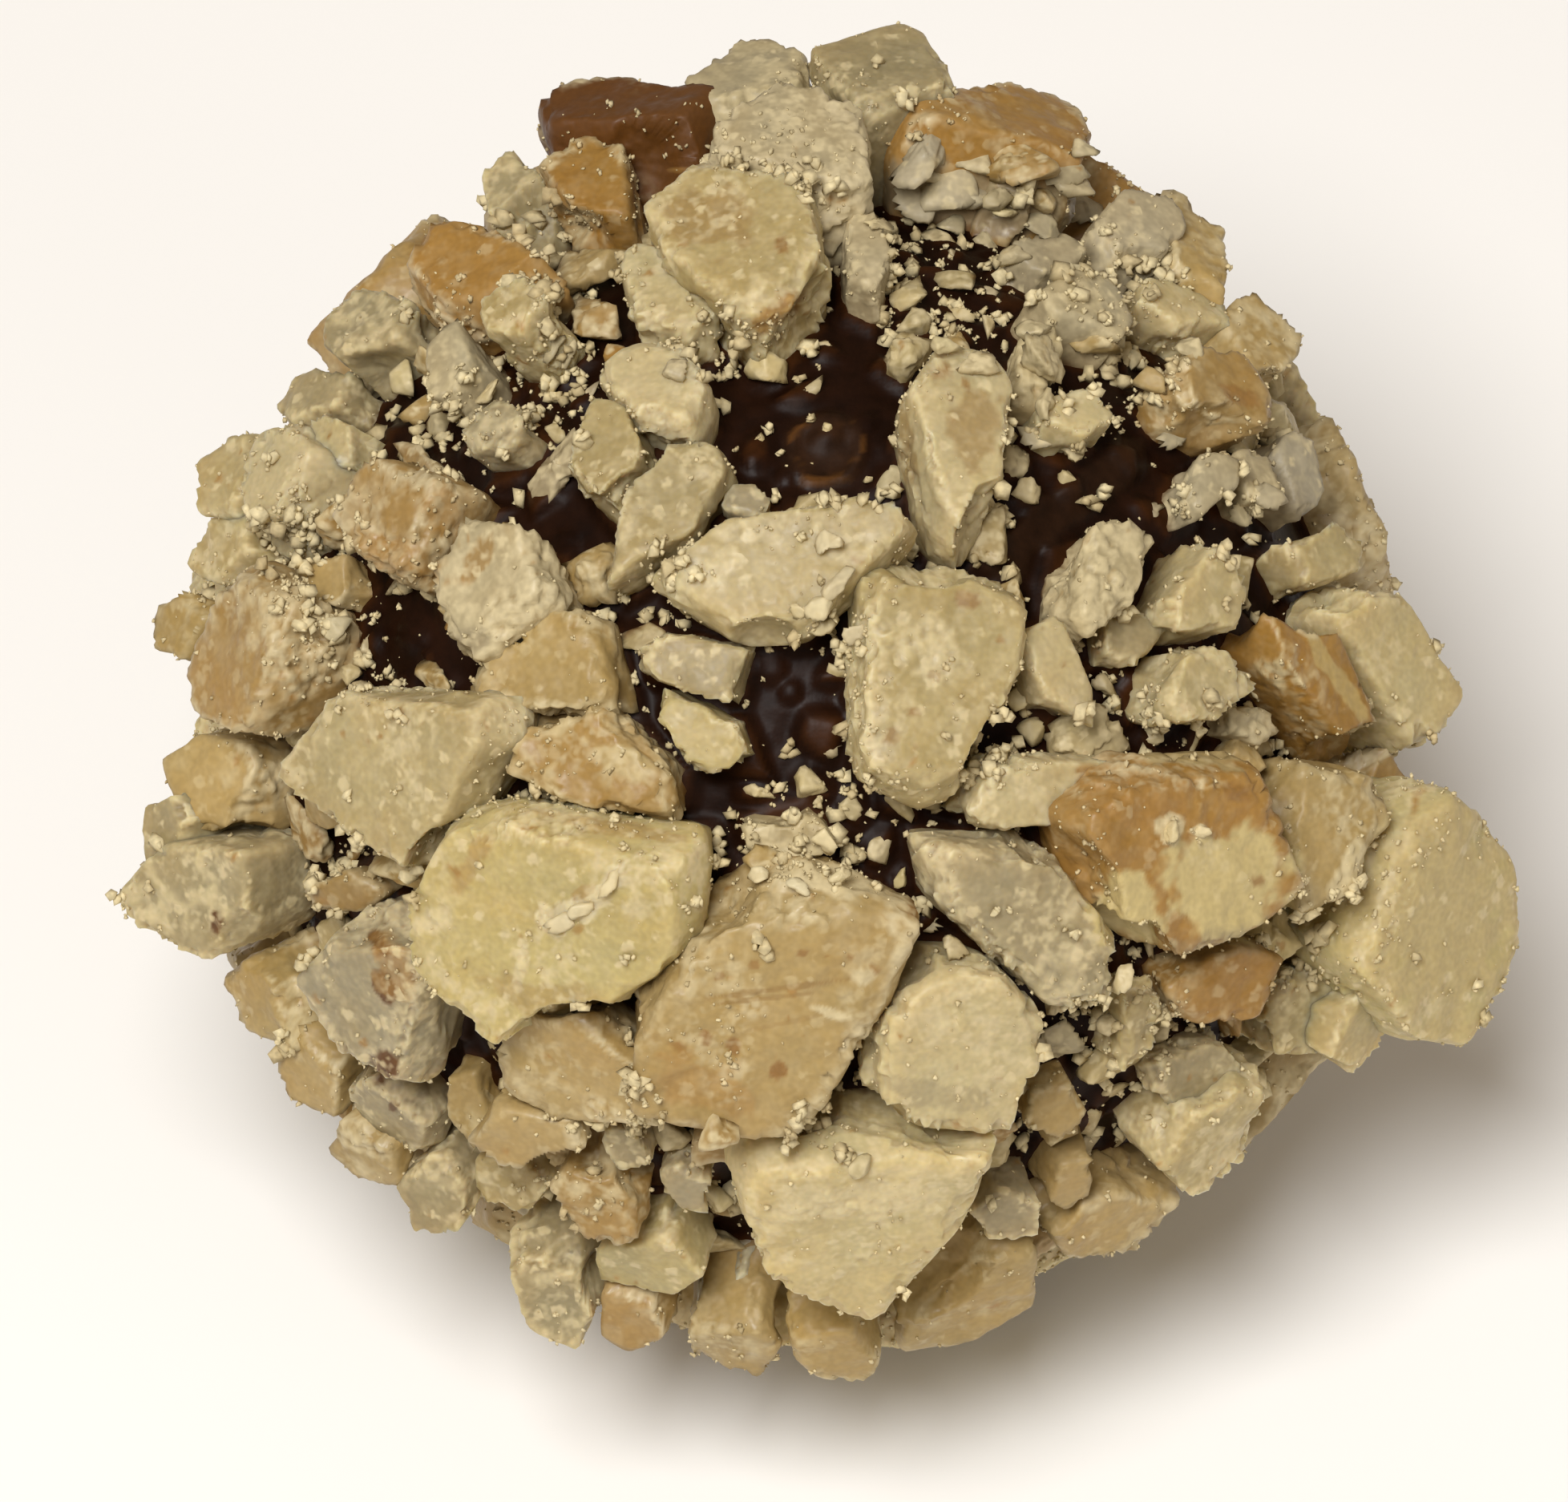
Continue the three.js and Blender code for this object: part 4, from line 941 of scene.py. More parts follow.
# %% How bare a place is
BARE = [
    (0.3, 7.6, 2.5, 2.5), (8.2, 5.0, 3.6, 2.2), (-6.0, 4.6, 1.2, 1.4),
    (0.0, 0.2, 1.3, 1.9), (-2.2, -1.9, 0.7, 0.9), (3.8, -5.2, 1.0, 0.8), (-9.6, 2.0, 0.9, 1.2),
    (-12.6, -2.4, 0.7, 0.9), (-8.4, -8.3, 0.8, 1.8), (-13.2, -5.8, 0.7, 1.0), (-2.6, -9.6, 0.8, 0.6),
    (5.6, -11.0, 0.8, 0.6), (-9.5, -9.4, 0.5, 1.2), (11.8, 4.0, 1.4, 1.5), (9.6, 0.6, 1.6, 0.6),
    (5.4, 0.0, 1.2, 0.7), (-6.6, 0.6, 1.2, 0.5),
]


def bareness(place):
    """1 inside a bare patch of the best side, 0 elsewhere."""
    x, y = drawn_place(place)
    share = np.zeros(len(place))
    for bare_x, bare_y, half_width, half_height in BARE:
        gap = np.hypot((x - bare_x) / half_width, (y - bare_y) / half_height)
        share = np.maximum(share, 1 - ramp(gap, 0.75, 1.15))
    return share * (place @ TO_VIEWER > 0)


print(len(BARE), "bare patches")

# %% [markdown]
# A bit of the table lies on whatever is seen at its place. The search starts near the viewer
# and walks inwards in small steps until it meets a nut or the ball. Blender could cast a ray
# at a mesh, but the flat faces of the nuts are at hand as numbers, so no mesh is needed yet.

# %% What is seen at a place
FAR_OUT = 18.0  # nearer to the viewer than any nut
SEARCH_STEP = 0.08


def gap_to_nuts(place, others):
    """How far each point lies outside the nearest of the nuts, negative inside one."""
    gap = np.full(len(place), 9.0)
    for nut in others:
        offset = place - nut["heart"]
        distance = np.linalg.norm(offset, axis=1)
        near = np.where(distance < nut["size"] + 2.5)[0]
        reach = 1 / pulls(nut, offset[near] / distance[near, None]).max(1)
        gap[near] = np.minimum(gap[near], distance[near] - reach)
    return gap


def seen_spot(x, y):
    """The point that is seen at x, y: on a nut, or on the ball between the nuts."""
    way = np.array([shown_point(x, y, depth) for depth in np.arange(FAR_OUT, 0, -SEARCH_STEP)])
    hit = (gap_to_nuts(way, nuts) < 0) | (np.linalg.norm(way, axis=1) < BALL_RADIUS)
    hit[-1] = True
    return way[hit.argmax()]


# %% [markdown]
# A bit is the hull of nine corners spread over a small oval, with knife cuts and a scoop like
# those of a large nut. Grey and papery bits are thin, because they are shavings. On the best
# side a bit lies with its broad side half towards the viewer, so that its outline shows.

# %% The shape of a bit
BIT_CORNERS = 9
BIT_SINK = 0.16  # how much of its width a bit is pressed in
THINNESS = {"flat": 0.5, "papery": 0.5, "sheer": 0.7}


def bit_shape(spot, out, along, length, width, kind):
    """A bit of nut that lies at the spot with its broad side to out, its length along along."""
    along = unit(along - out * (along @ out) + 0.35 * luck.normal(size=3) * 0.6)  # a little askew
    aside = unit(np.cross(out, along))
    upright = np.cross(along, aside)
    spread = unit_rows(luck.normal(size=(BIT_CORNERS, 3)) * [1.0, 1.0, 0.8])
    spread *= luck.uniform(0.95, 1.25, (BIT_CORNERS, 1))
    thick = width * luck.uniform(0.75, 1.0) * THINNESS.get(kind, 1.0)
    corners = spread @ (0.5 * np.array([along * length, aside * width, upright * thick]))
    heart = spot + out * thick * (0.5 - BIT_SINK)
    return shape_from(corners + heart, kind, cuts=2, deepest=0.88, scoops=1)


def table_bit(kind, x, y, length, width, turn):
    angle = math.radians(turn)
    along = ACROSS * math.cos(angle) + UPWARD * math.sin(angle)
    spot = seen_spot(x, y)
    out = unit(unit(spot) + TO_VIEWER)
    return bit_shape(spot, out, along, length * 1.05, width * 1.1, kind)


bits = [table_bit(*row) for row in BITS]
print(len(bits), "bits placed by hand")

# %% [markdown]
# For the rule, each place that is tried asks how far outside the nearest nut it lies. The
# largest bits go first again, so the small ones take what is left.

# %% Bits placed by the rule
BIT_LENGTHS = (2.4, 1.9, 1.5, 1.2, 0.95, 0.75)
BIT_TRIES = 2600  # for each of the lengths
BIT_ROOM = 0.37  # the room between two bits, as a share of both their lengths
BIT_MOST = 540

taken = np.array([unit(bit["heart"]) for bit in bits])
taken_lengths = np.array([2 * bit["size"] for bit in bits])
for length in BIT_LENGTHS:
    tried = unit_rows(luck.normal(size=(BIT_TRIES, 3)))
    gaps = gap_to_nuts(tried * (BALL_RADIUS + 0.4), nuts)
    bare = bareness(tried * BALL_RADIUS)
    for out, gap, bald in zip(tried, gaps, bare):
        close = np.arccos(np.clip(taken @ out, -1, 1)) * BALL_RADIUS
        if len(bits) < BIT_MOST and gap > 0.27 * length and bald < 0.5:
            if (close > BIT_ROOM * (taken_lengths + length)).all():
                width = length * luck.uniform(0.5, 0.85)
                kind = RULE_KINDS[luck.randint(len(RULE_KINDS))]
                bits.append(bit_shape(out * BALL_RADIUS, out, luck.normal(size=3), length, width, kind))
                taken = np.vstack([taken, out])
                taken_lengths = np.append(taken_lengths, length)

# %% [markdown]
# High at the back grey shavings lie on one another. The top ones come last, when the rest of
# the bits have their places.

# %% Bits that lie on others
TOP_BITS = [
    ("flat", 3.6, 13.2, 2.0, 1.5, 20), ("papery", 4.4, 13.8, 1.5, 1.1, -10),
    ("toasted", 5.1, 13.3, 1.7, 1.3, 15), ("flat", 6.0, 12.3, 1.8, 1.2, -25),
    ("flat", 6.5, 13.6, 1.5, 1.1, 20), ("papery", 3.0, 13.5, 1.4, 1.0, 60),
]
bits += [table_bit(*row) for row in TOP_BITS]
print(len(bits), "bits in all")

# %% [markdown]
# Nuts of one kind are joined into one mesh, so that the truffle stays a handful of pieces.
# The mesh is filled through foreach_set, which takes whole arrays and is many times faster
# than adding points one at a time. Points under the floor are levelled, because the lowest
# nuts were pressed flat.

# %% Fill a mesh from arrays
def mesh_from(name, parts, layers):
    """One mesh from (points in mm from the ball's middle, quads, colours, ...) parts."""
    points = np.concatenate([part[0] for part in parts]) + BALL_MIDDLE
    points[:, 2] = np.maximum(points[:, 2], 0.0)
    starts = np.cumsum([0] + [len(part[0]) for part in parts[:-1]])
    faces = np.concatenate([part[1] + start for part, start in zip(parts, starts)])
    mesh = bpy.data.meshes.new(name)
    mesh.vertices.add(len(points))
    mesh.loops.add(faces.size)
    mesh.polygons.add(len(faces))
    mesh.vertices.foreach_set("co", (points * MM).astype(np.float32).reshape(-1))
    mesh.polygons.foreach_set("loop_start", np.arange(0, faces.size, 4))
    mesh.loops.foreach_set("vertex_index", faces.reshape(-1))
    mesh.polygons.foreach_set("use_smooth", np.ones(len(faces), bool))
    mesh.update(calc_edges=True)
    for column, (layer, kind) in enumerate(layers.items()):
        values = np.concatenate([part[2 + column] for part in parts]).astype(np.float32)
        if kind == "FLOAT_COLOR":
            values = np.column_stack([values, np.ones(len(values), np.float32)])
            mesh.color_attributes.new(layer, kind, "POINT").data.foreach_set("color", values.reshape(-1))
        else:
            mesh.attributes.new(layer, kind, "POINT").data.foreach_set("value", values)
    return mesh


# %% [markdown]
# An object puts a mesh into the scene. It stays at the origin, unturned and unscaled: the
# points already are where they belong, and Object coordinates then measure the real truffle
# in every finish.

# %% Objects and pieces
def add_object(name, data):
    """An object in the scene that holds a mesh, a light or a camera."""
    made = bpy.data.objects.new(name, data)
    bpy.context.scene.collection.objects.link(made)
    return made


def piece_from(name, parts, material):
    mesh = mesh_from(name, parts, {"shade": "FLOAT_COLOR", "bruised": "FLOAT"})
    mesh.materials.append(material)
    piece = add_object(name, mesh)
    print(name, "has", len(parts), "parts and", 2 * len(mesh.polygons), "triangles")
    return piece


# %% [markdown]
# ## Finishes
#
# Every finish is one Principled shader with patterns on its sockets. Small helpers keep the
# node trees short. Patterns read Object coordinates, which are in metres, so a scale of 1000
# makes features about a millimetre wide.

# %% Helpers for materials and nodes
def new_material(name):
    material = bpy.data.materials.new(name)
    material.use_nodes = True
    nodes = material.node_tree.nodes
    nodes.clear()
    output = nodes.new("ShaderNodeOutputMaterial")
    shader = nodes.new("ShaderNodeBsdfPrincipled")
    material.node_tree.links.new(shader.outputs["BSDF"], output.inputs["Surface"])
    return material, shader


def add_node(tree, kind, settings=None, **values):
    node = tree.nodes.new(kind)
    for key, value in (settings or {}).items():
        setattr(node, key, value)
    for key, value in values.items():
        node.inputs[key.replace("_", " ")].default_value = value
    return node


# %% [markdown]
# Arithmetic in a node tree takes a node for each step. These three helpers add one, join it
# up and hand back its output, so that a finish reads like a few sums.

# %% Helpers for sums and blends
def map_range(material, source, low, high, to_low, to_high):
    node = add_node(material.node_tree, "ShaderNodeMapRange")
    for key, value in zip(("From Min", "From Max", "To Min", "To Max"), (low, high, to_low, to_high)):
        node.inputs[key].default_value = value
    material.node_tree.links.new(source, node.inputs["Value"])
    return node.outputs["Result"]


def math_node(material, operation, first, second):
    node = add_node(material.node_tree, "ShaderNodeMath", {"operation": operation})
    for source, target in zip((first, second), node.inputs):
        if isinstance(source, (int, float)):
            target.default_value = source
        else:
            material.node_tree.links.new(source, target)
    return node.outputs[0]


def mix_colour(material, factor, first, second):
    node = add_node(material.node_tree, "ShaderNodeMix", {"data_type": "RGBA"})
    material.node_tree.links.new(factor, node.inputs["Factor"])
    for source, target in ((first, node.inputs[6]), (second, node.inputs[7])):
        if isinstance(source, tuple):
            target.default_value = source
        else:
            material.node_tree.links.new(source, target)
    return node.outputs[2]


# %% [markdown]
# All finishes take their colour from an attribute that the mesh carries and vary its
# brightness a little, and most have a fine bump, so each of these has a helper too. A noise
# keeps close to a half, so it is spread out before it drives anything.

# %% Helpers for attributes, brightness and bump
NOISE_LOW, NOISE_HIGH = 0.3, 0.7  # nearly all of a noise lies between these


def attribute(material, name, output):
    node = add_node(material.node_tree, "ShaderNodeAttribute", {"attribute_name": name})
    return node.outputs[output]


def spread_noise(material, pattern, low, high):
    return map_range(material, pattern, NOISE_LOW, NOISE_HIGH, low, high)


def give_colour(material, shader, colour, brightness):
    tint = add_node(material.node_tree, "ShaderNodeVectorMath", {"operation": "SCALE"})
    material.node_tree.links.new(colour, tint.inputs[0])
    material.node_tree.links.new(brightness, tint.inputs["Scale"])
    material.node_tree.links.new(tint.outputs[0], shader.inputs["Base Color"])


def give_bump(material, shader, height, strength, distance):
    bump = add_node(material.node_tree, "ShaderNodeBump", Strength=strength, Distance=distance)
    material.node_tree.links.new(height, bump.inputs["Height"])
    material.node_tree.links.new(bump.outputs["Normal"], shader.inputs["Normal"])


# %% [markdown]
# Two patterns are enough for all finishes: soft noise, and dots of several sizes. The dots come from
# Voronoi cells. A cell's random colour sets how large its dot is, and noise draws the dot's
# outline in and out, because the real specks are never round.

# %% Patterns
def noise_node(material, scale, detail=2.0, roughness=0.5):
    tree = material.node_tree
    place = add_node(tree, "ShaderNodeTexCoord")
    node = add_node(tree, "ShaderNodeTexNoise", Scale=scale, Detail=detail, Roughness=roughness)
    tree.links.new(place.outputs["Object"], node.inputs["Vector"])
    return node.outputs["Fac"]


def dots(material, scale, uneven):
    """1 on soft dots of several sizes, 0 between them, with outlines drawn in and out by uneven."""
    tree = material.node_tree
    place = add_node(tree, "ShaderNodeTexCoord")
    cells = add_node(tree, "ShaderNodeTexVoronoi", Scale=scale)
    tree.links.new(place.outputs["Object"], cells.inputs["Vector"])
    radius = map_range(material, cells.outputs["Color"], 0.38, 0.80, 0.0, 0.55)
    radius = math_node(material, "ADD", radius, spread_noise(material, uneven, -0.1, 0.1))
    inside = math_node(material, "SUBTRACT", radius, cells.outputs["Distance"])
    return map_range(material, inside, 0.0, 0.26, 0.0, 1.0)


# %% [markdown]
# Blanched nut is waxy: light goes a little way in and comes out softer. A pale glaze could
# imitate that, but subsurface scattering is the thing itself. It takes time to render, so
# only the broad blanched nuts get it, and toasted, papery and small ones do without. The
# colour comes from the attribute. White blotches, a third of a millimetre wide, are where
# the flesh bruised under the knife, and white dots are the specks of a cut face. A bump
# carries the cell texture that is finer than the mesh.

# %% The nut finish
BLOTCH_SCALE, SPECK_SCALE, CELL_SCALE = 3400, 2300, 7000  # how many fit in a metre
WAX_DEPTH = 0.0010  # how far red light goes in, in metres
WAX_RADIUS = (1.0, 0.75, 0.4)  # green and blue go less far


def nut_finish(name, roughness, wax, blotches):
    """wax is the share of the light that goes in, blotches how strongly the blotches show."""
    material, shader = new_material(name)
    shade, bruised = attribute(material, "shade", "Color"), attribute(material, "bruised", "Fac")
    wide = noise_node(material, BLOTCH_SCALE, detail=1.0, roughness=0.6)
    fine = noise_node(material, CELL_SCALE, detail=0.0, roughness=0.6)
    blotch = map_range(material, wide, 0.47, 0.68, 0.0, 1.0)
    dot = dots(material, SPECK_SCALE, fine)
    amount = map_range(material, bruised, 0.0, 1.0, 0.6 * blotches, blotches + 0.35)
    dotted = math_node(material, "MULTIPLY", dot, 2.4 * blotches)
    white = math_node(material, "MAXIMUM", math_node(material, "MULTIPLY", blotch, amount), dotted)
    colour = mix_colour(material, white, shade, (*COLOURS["white"], 1))
    give_colour(material, shader, colour, spread_noise(material, fine, 0.94, 1.05))
    rough = spread_noise(material, wide, roughness - 0.08, roughness + 0.14)
    material.node_tree.links.new(rough, shader.inputs["Roughness"])
    give_bump(material, shader, fine, 0.22, 0.04 * MM)
    shader.inputs["Specular IOR Level"].default_value = 0.3
    shader.inputs["Subsurface Weight"].default_value = wax
    shader.inputs["Subsurface Radius"].default_value = WAX_RADIUS
    shader.inputs["Subsurface Scale"].default_value = WAX_DEPTH
    return material


waxy_finish = nut_finish("blanched nut", roughness=0.46, wax=0.60, blotches=0.32)
dry_finish = nut_finish("dry nut", roughness=0.50, wax=0.0, blotches=0.32)
toasted_finish = nut_finish("toasted nut", roughness=0.42, wax=0.0, blotches=0.12)
skin_finish = nut_finish("nut skin", roughness=0.50, wax=0.0, blotches=0.0)
print("the blanched finish has", len(waxy_finish.node_tree.nodes), "nodes")

# %% [markdown]
# Crumbs are too small for blotches. Their finish is the colour that each was given, with a
# little unevenness, and dry and matte.

# %% The crumb finish
def crumb_finish_from(name):
    material, shader = new_material(name)
    brightness = spread_noise(material, noise_node(material, 6000, detail=1.0), 0.8, 1.15)
    give_colour(material, shader, attribute(material, "shade", "Color"), brightness)
    shader.inputs["Roughness"].default_value = 0.7
    shader.inputs["Specular IOR Level"].default_value = 0.25
    return material


crumb_finish = crumb_finish_from("nut crumb")

# %% [markdown]
# Dark chocolate that set in the air is satin, not mirror bright. Its gloss varies, and where
# nuts were pushed through it there is a fine haze.

# %% The chocolate finish
def chocolate_finish():
    material, shader = new_material("dark chocolate")
    fine = noise_node(material, 1600, detail=3.0, roughness=0.6)
    broad = noise_node(material, 420, detail=1.0)
    brightness = spread_noise(material, fine, 0.7, 1.4)
    give_colour(material, shader, attribute(material, "shade", "Color"), brightness)
    rough = spread_noise(material, broad, 0.36, 0.56)
    material.node_tree.links.new(rough, shader.inputs["Roughness"])
    give_bump(material, shader, fine, 0.3, 0.06 * MM)
    shader.inputs["Specular IOR Level"].default_value = 0.07
    return material


chocolate = chocolate_finish()

# %% [markdown]
# ## The nuts
#
# The fineness of each nut follows its size. Those listed one by one get a finer mesh than
# those on the hidden sides, and bits a coarse one.

# %% Build the nuts
SHOWN_STEP = 0.17  # distance between points before the lean, in mm
RULE_STEP = 0.29
BIT_STEP = 0.18
FINEST = 44
COARSEST = 6


def fineness_for(nut, step):
    return int(np.clip(round(math.pi / 2 * 0.9 * nut["size"] / step), COARSEST, FINEST))


nut_surfaces = []
for index, nut in enumerate(nuts):
    shown = index < shown_count
    step = SHOWN_STEP if shown else RULE_STEP
    nut_surfaces.append(nut_surface(nut, fineness_for(nut, step), index, shown))
print(sum(len(surface[0]) for surface in nut_surfaces), "points on the nuts")

# %% [markdown]
# Bits go into three pieces by their colour: pale, grey and tan. A finish is chosen by the
# name of the piece, and what isn't named is dry.

# %% Build the bits and join everything into pieces
FIRST_BIT_SEED = 300  # above those of the nuts
groups = {}
for nut, surface in zip(nuts, nut_surfaces):
    groups.setdefault(nut["kind"] + "_nuts", []).append(surface)
BIT_GROUPS = {"tan": "tan_bits", "toasted": "tan_bits", "amber": "tan_bits", "sheer": "grey_bits",
              "chalky": "grey_bits", "papery": "grey_bits", "flat": "grey_bits"}
for index, bit in enumerate(bits):
    group = BIT_GROUPS.get(bit["kind"], "pale_bits")
    surface = nut_surface(bit, fineness_for(bit, BIT_STEP), FIRST_BIT_SEED + index)
    groups.setdefault(group, []).append(surface)

FINISHES = {"pale_nuts": waxy_finish, "cream_nuts": waxy_finish, "green_nuts": waxy_finish,
            "sheer_nuts": waxy_finish,
            "tan_nuts": toasted_finish, "toasted_nuts": toasted_finish, "amber_nuts": toasted_finish,
            "skin_nuts": skin_finish}
nut_pieces = {}
for name, parts in groups.items():
    nut_pieces[name] = piece_from(name, parts, FINISHES.get(name, dry_finish))

# %% [markdown]
# ## The chocolate ball
#
# The ball is the same blown-up cube, large, with its points leaned towards the best side. It
# has soft lumps, and beside each nut the chocolate rises in a small collar, because it was
# soft when the nut sank in. To find the collars, each point asks how far outside each near
# nut it is.

# %% The chocolate ball
BALL_FINENESS = 126
BALL_LEAN = 0.3
COLLAR = 0.26  # how high the chocolate climbs beside a nut
LUMP = 0.07
CHOCOLATE_COLOUR = np.array([0.0110, 0.0036, 0.0014])
COLLAR_COLOUR = np.array([0.028, 0.0090, 0.0022])

directions, ball_quads = ball_of_directions(BALL_FINENESS)
directions = unit_rows(directions + BALL_LEAN * TO_VIEWER)
round_ball = directions * BALL_RADIUS
ball_gap = gap_to_nuts(round_ball, nuts + bits)
climb = 1 - ramp(ball_gap, -0.1, 0.45)
lump = LUMP * (noise(round_ball, 2.6, 20) + 0.5 * noise(round_ball, 1.1, 21))
lump += 0.02 * noise(round_ball, 0.4, 22)
rim = (1 - ramp(ball_gap, 0.0, 0.16))[:, None]
ball_shade = CHOCOLATE_COLOUR + (COLLAR_COLOUR - CHOCOLATE_COLOUR) * rim
ball_shade = ball_shade * (1 + 0.2 * noise(round_ball, 1.7, 23)[:, None])
print("nuts and bits cover", round(100 * (ball_gap < 0).mean()), "% of the ball's points")

# %% [markdown]
# On the best side the chocolate keeps traces of rolling: a curl where a nut was pulled out,
# a smear, and a few small bubbles. The curl and the smear are browner, because there the
# surface tore.

# %% A curl, a smear and bubbles
CURL = (0.55, 6.7, 0.8)  # x, y and radius
SMEAR = (4.9, 4.0, 7.9, 6.4)  # from x, y to x, y
SMEAR_HALF_WIDTH = 0.55
TORN_COLOUR = np.array([0.022, 0.0095, 0.0042])
FLAKE_COLOUR = np.array([0.070, 0.028, 0.007])
BUBBLES = [(-0.8, 1.3, 0.42), (-0.3, 0.7, 0.3), (8.2, 1.0, 0.4), (-9.7, 2.1, 0.4), (1.6, 7.4, 0.3),
           (-0.4, 6.1, 0.28), (3.4, 5.4, 0.3), (-5.9, 4.4, 0.35), (-12.7, -2.6, 0.35), (9.2, 6.4, 0.3)]

x, y = drawn_place(round_ball)
facing = directions @ TO_VIEWER > 0
wander = 0.16 * noise(round_ball, 0.7, 26)
ring_gap = np.abs(np.hypot(x - CURL[0], y - CURL[1]) - CURL[2] + wander)
curl = facing * (1 - ramp(ring_gap, 0.03, 0.22))
start, end = np.array(SMEAR[:2]), np.array(SMEAR[2:])
offset = np.stack([x, y], 1) - start
along = np.clip(offset @ (end - start) / ((end - start) @ (end - start)), 0, 1)
smear_gap = np.linalg.norm(offset - along[:, None] * (end - start), axis=1) + 2 * wander
smear = facing * (1 - ramp(smear_gap, 0.7 * SMEAR_HALF_WIDTH, 1.1 * SMEAR_HALF_WIDTH))
bubble = np.zeros(len(x))
for bubble_x, bubble_y, radius in BUBBLES:
    gap = np.hypot(x - bubble_x, y - bubble_y) / radius
    bubble = np.maximum(bubble, facing * 0.4 * radius * np.sqrt(np.clip(1 - gap**2, 0, 1)))
lump += 0.13 * curl + smear * (0.12 + 0.05 * noise(round_ball, 0.5, 27)) + bubble
torn = np.maximum(0.8 * smear, ramp(1.2 - np.hypot(x - CURL[0], y - CURL[1]), 0.0, 0.4) * facing)[:, None]
flake = (curl * ramp(noise(round_ball, 0.3, 28), 0.25, 0.55))[:, None]
ball_shade = ball_shade + (TORN_COLOUR - ball_shade) * torn * 0.8
ball_shade = ball_shade + (FLAKE_COLOUR - ball_shade) * flake

ball_points = directions * (BALL_RADIUS + lump + COLLAR * climb)[:, None]
ball_part = (ball_points, ball_quads, ball_shade, np.zeros(len(ball_points)))
chocolate_ball = piece_from("chocolate_ball", [ball_part], chocolate)

# %% [markdown]
# ## Crumbs and dust
#
# Chopping leaves crumbs of every size down to dust. They cling to the tacky chocolate and to
# the rough nuts, mostly in drifts. Geometry Nodes scatter them: the ground is a copy of all
# nuts and the ball with one number per point, how thickly crumbs lie there. Points that are
# buried in another nut get 0.

# %% How thickly crumbs lie
HEAPS = [
    (-11.3, 1.8, 1.7), (0.6, 1.6, 1.2), (2.5, 11.6, 1.1), (5.1, 12.5, 1.0), (4.1, 9.9, 0.9),
    (0.4, -2.7, 1.9), (-1.4, -2.9, 1.0),
    (-6.0, 11.4, 2.1), (-6.3, 8.5, 1.5), (-12.5, 5.0, 1.5), (6.0, 6.9, 1.6), (8.2, 8.6, 1.6),
    (4.9, -0.6, 1.2), (8.3, 0.2, 1.0), (13.2, -4.5, 1.5), (7.2, -7.6, 1.4), (-11.5, -3.7, 1.2),
    (-4.0, -9.5, 1.2), (-6.0, -12.0, 1.5), (0.4, -10.4, 1.1), (-12.7, 3.0, 1.1), (-8.6, 7.6, 1.5),
    (-2.2, 9.6, 1.2), (10.4, 5.2, 1.5), (8.0, 11.0, 2.0), (-0.5, 13.9, 1.6), (5.4, 4.2, 0.8),
    (-3.4, 4.2, 0.9), (9.0, -7.9, 1.2), (1.0, 5.4, 1.0), (12.3, -6.0, 1.2), (-8.8, -5.0, 0.8),
]


def heaped(place):
    x, y = drawn_place(place)
    share = np.zeros(len(place))
    for heap_x, heap_y, radius in HEAPS:
        share = np.maximum(share, 1 - ramp(np.hypot(x - heap_x, y - heap_y) / radius, 0.4, 1.1))
    return share * (place @ TO_VIEWER > 0)


def buried(place, own_nut):
    """True where a point of a nut lies inside another nut."""
    others = [nut for nut in nuts if nut is not own_nut]
    apart = np.linalg.norm([nut["heart"] - own_nut["heart"] for nut in others], axis=1)
    near = [nut for nut, far in zip(others, apart) if far < nut["size"] + own_nut["size"]]
    return gap_to_nuts(place, near) < 0


def drifted(place):
    drift = ramp(noise(place, 2.4, 40) + 0.6 * noise(place, 0.9, 41), 0.0, 0.8)
    return 0.08 + 0.92 * np.maximum(drift, heaped(place))


# %% [markdown]
# The ground for each kind of litter: crumbs lie in the heaps, along broken edges, and on the
# free chocolate. Grit and dust lie on edges and bruised faces. A bare patch keeps a few.

# %% The ground for the crumbs
ground_parts = []
for nut, (place, nut_quads, colour, bruised, edge) in zip(nuts, nut_surfaces):
    upward = (place - nut["heart"]) @ unit(nut["heart"]) / nut["size"]
    free = ramp(upward, -0.25, 0.15) * (np.linalg.norm(place, axis=1) > BALL_RADIUS + 0.2)
    free *= ~buried(place, nut)
    drift = drifted(place)
    crumbs = free * (0.01 + 0.06 * drift + 1.1 * heaped(place) * ramp(edge, 0.05, 0.45))
    grit = free * np.maximum(0.9 * ramp(edge, 0.2, 0.5), 0.6 * bruised) * (0.1 + 0.9 * drift)
    dust = free * (0.04 + 0.3 * drift * np.maximum(bruised, ramp(edge, 0.1, 0.4)))
    ground_parts.append((place, nut_quads, colour, crumbs, dust, grit))
covered = ball_gap < 0.0
drift = (0.25 + 0.75 * drifted(ball_points)) * (1 - 0.88 * bareness(ball_points)) * ~covered
nothing = np.zeros(len(ball_points))
ball_colour = np.tile(COLOURS["pale"], (len(ball_points), 1))
ground_parts.append((ball_points, ball_quads, ball_colour, drift, 0.4 * drift, nothing))
GROUND_LAYERS = {"shade": "FLOAT_COLOR", "crumbs": "FLOAT", "dust": "FLOAT", "grit": "FLOAT"}
ground_mesh = mesh_from("ground", ground_parts, GROUND_LAYERS)
print("ground of", len(ground_mesh.polygons), "faces")

# %% [markdown]
# The corners of a lump are spread over a ball on a spiral, because with random ones it comes
# out as a splinter. Then they are drawn in and out, and the lump is pressed and turned.

# %% One lump
GOLDEN_TURN = math.pi * (3 - math.sqrt(5))


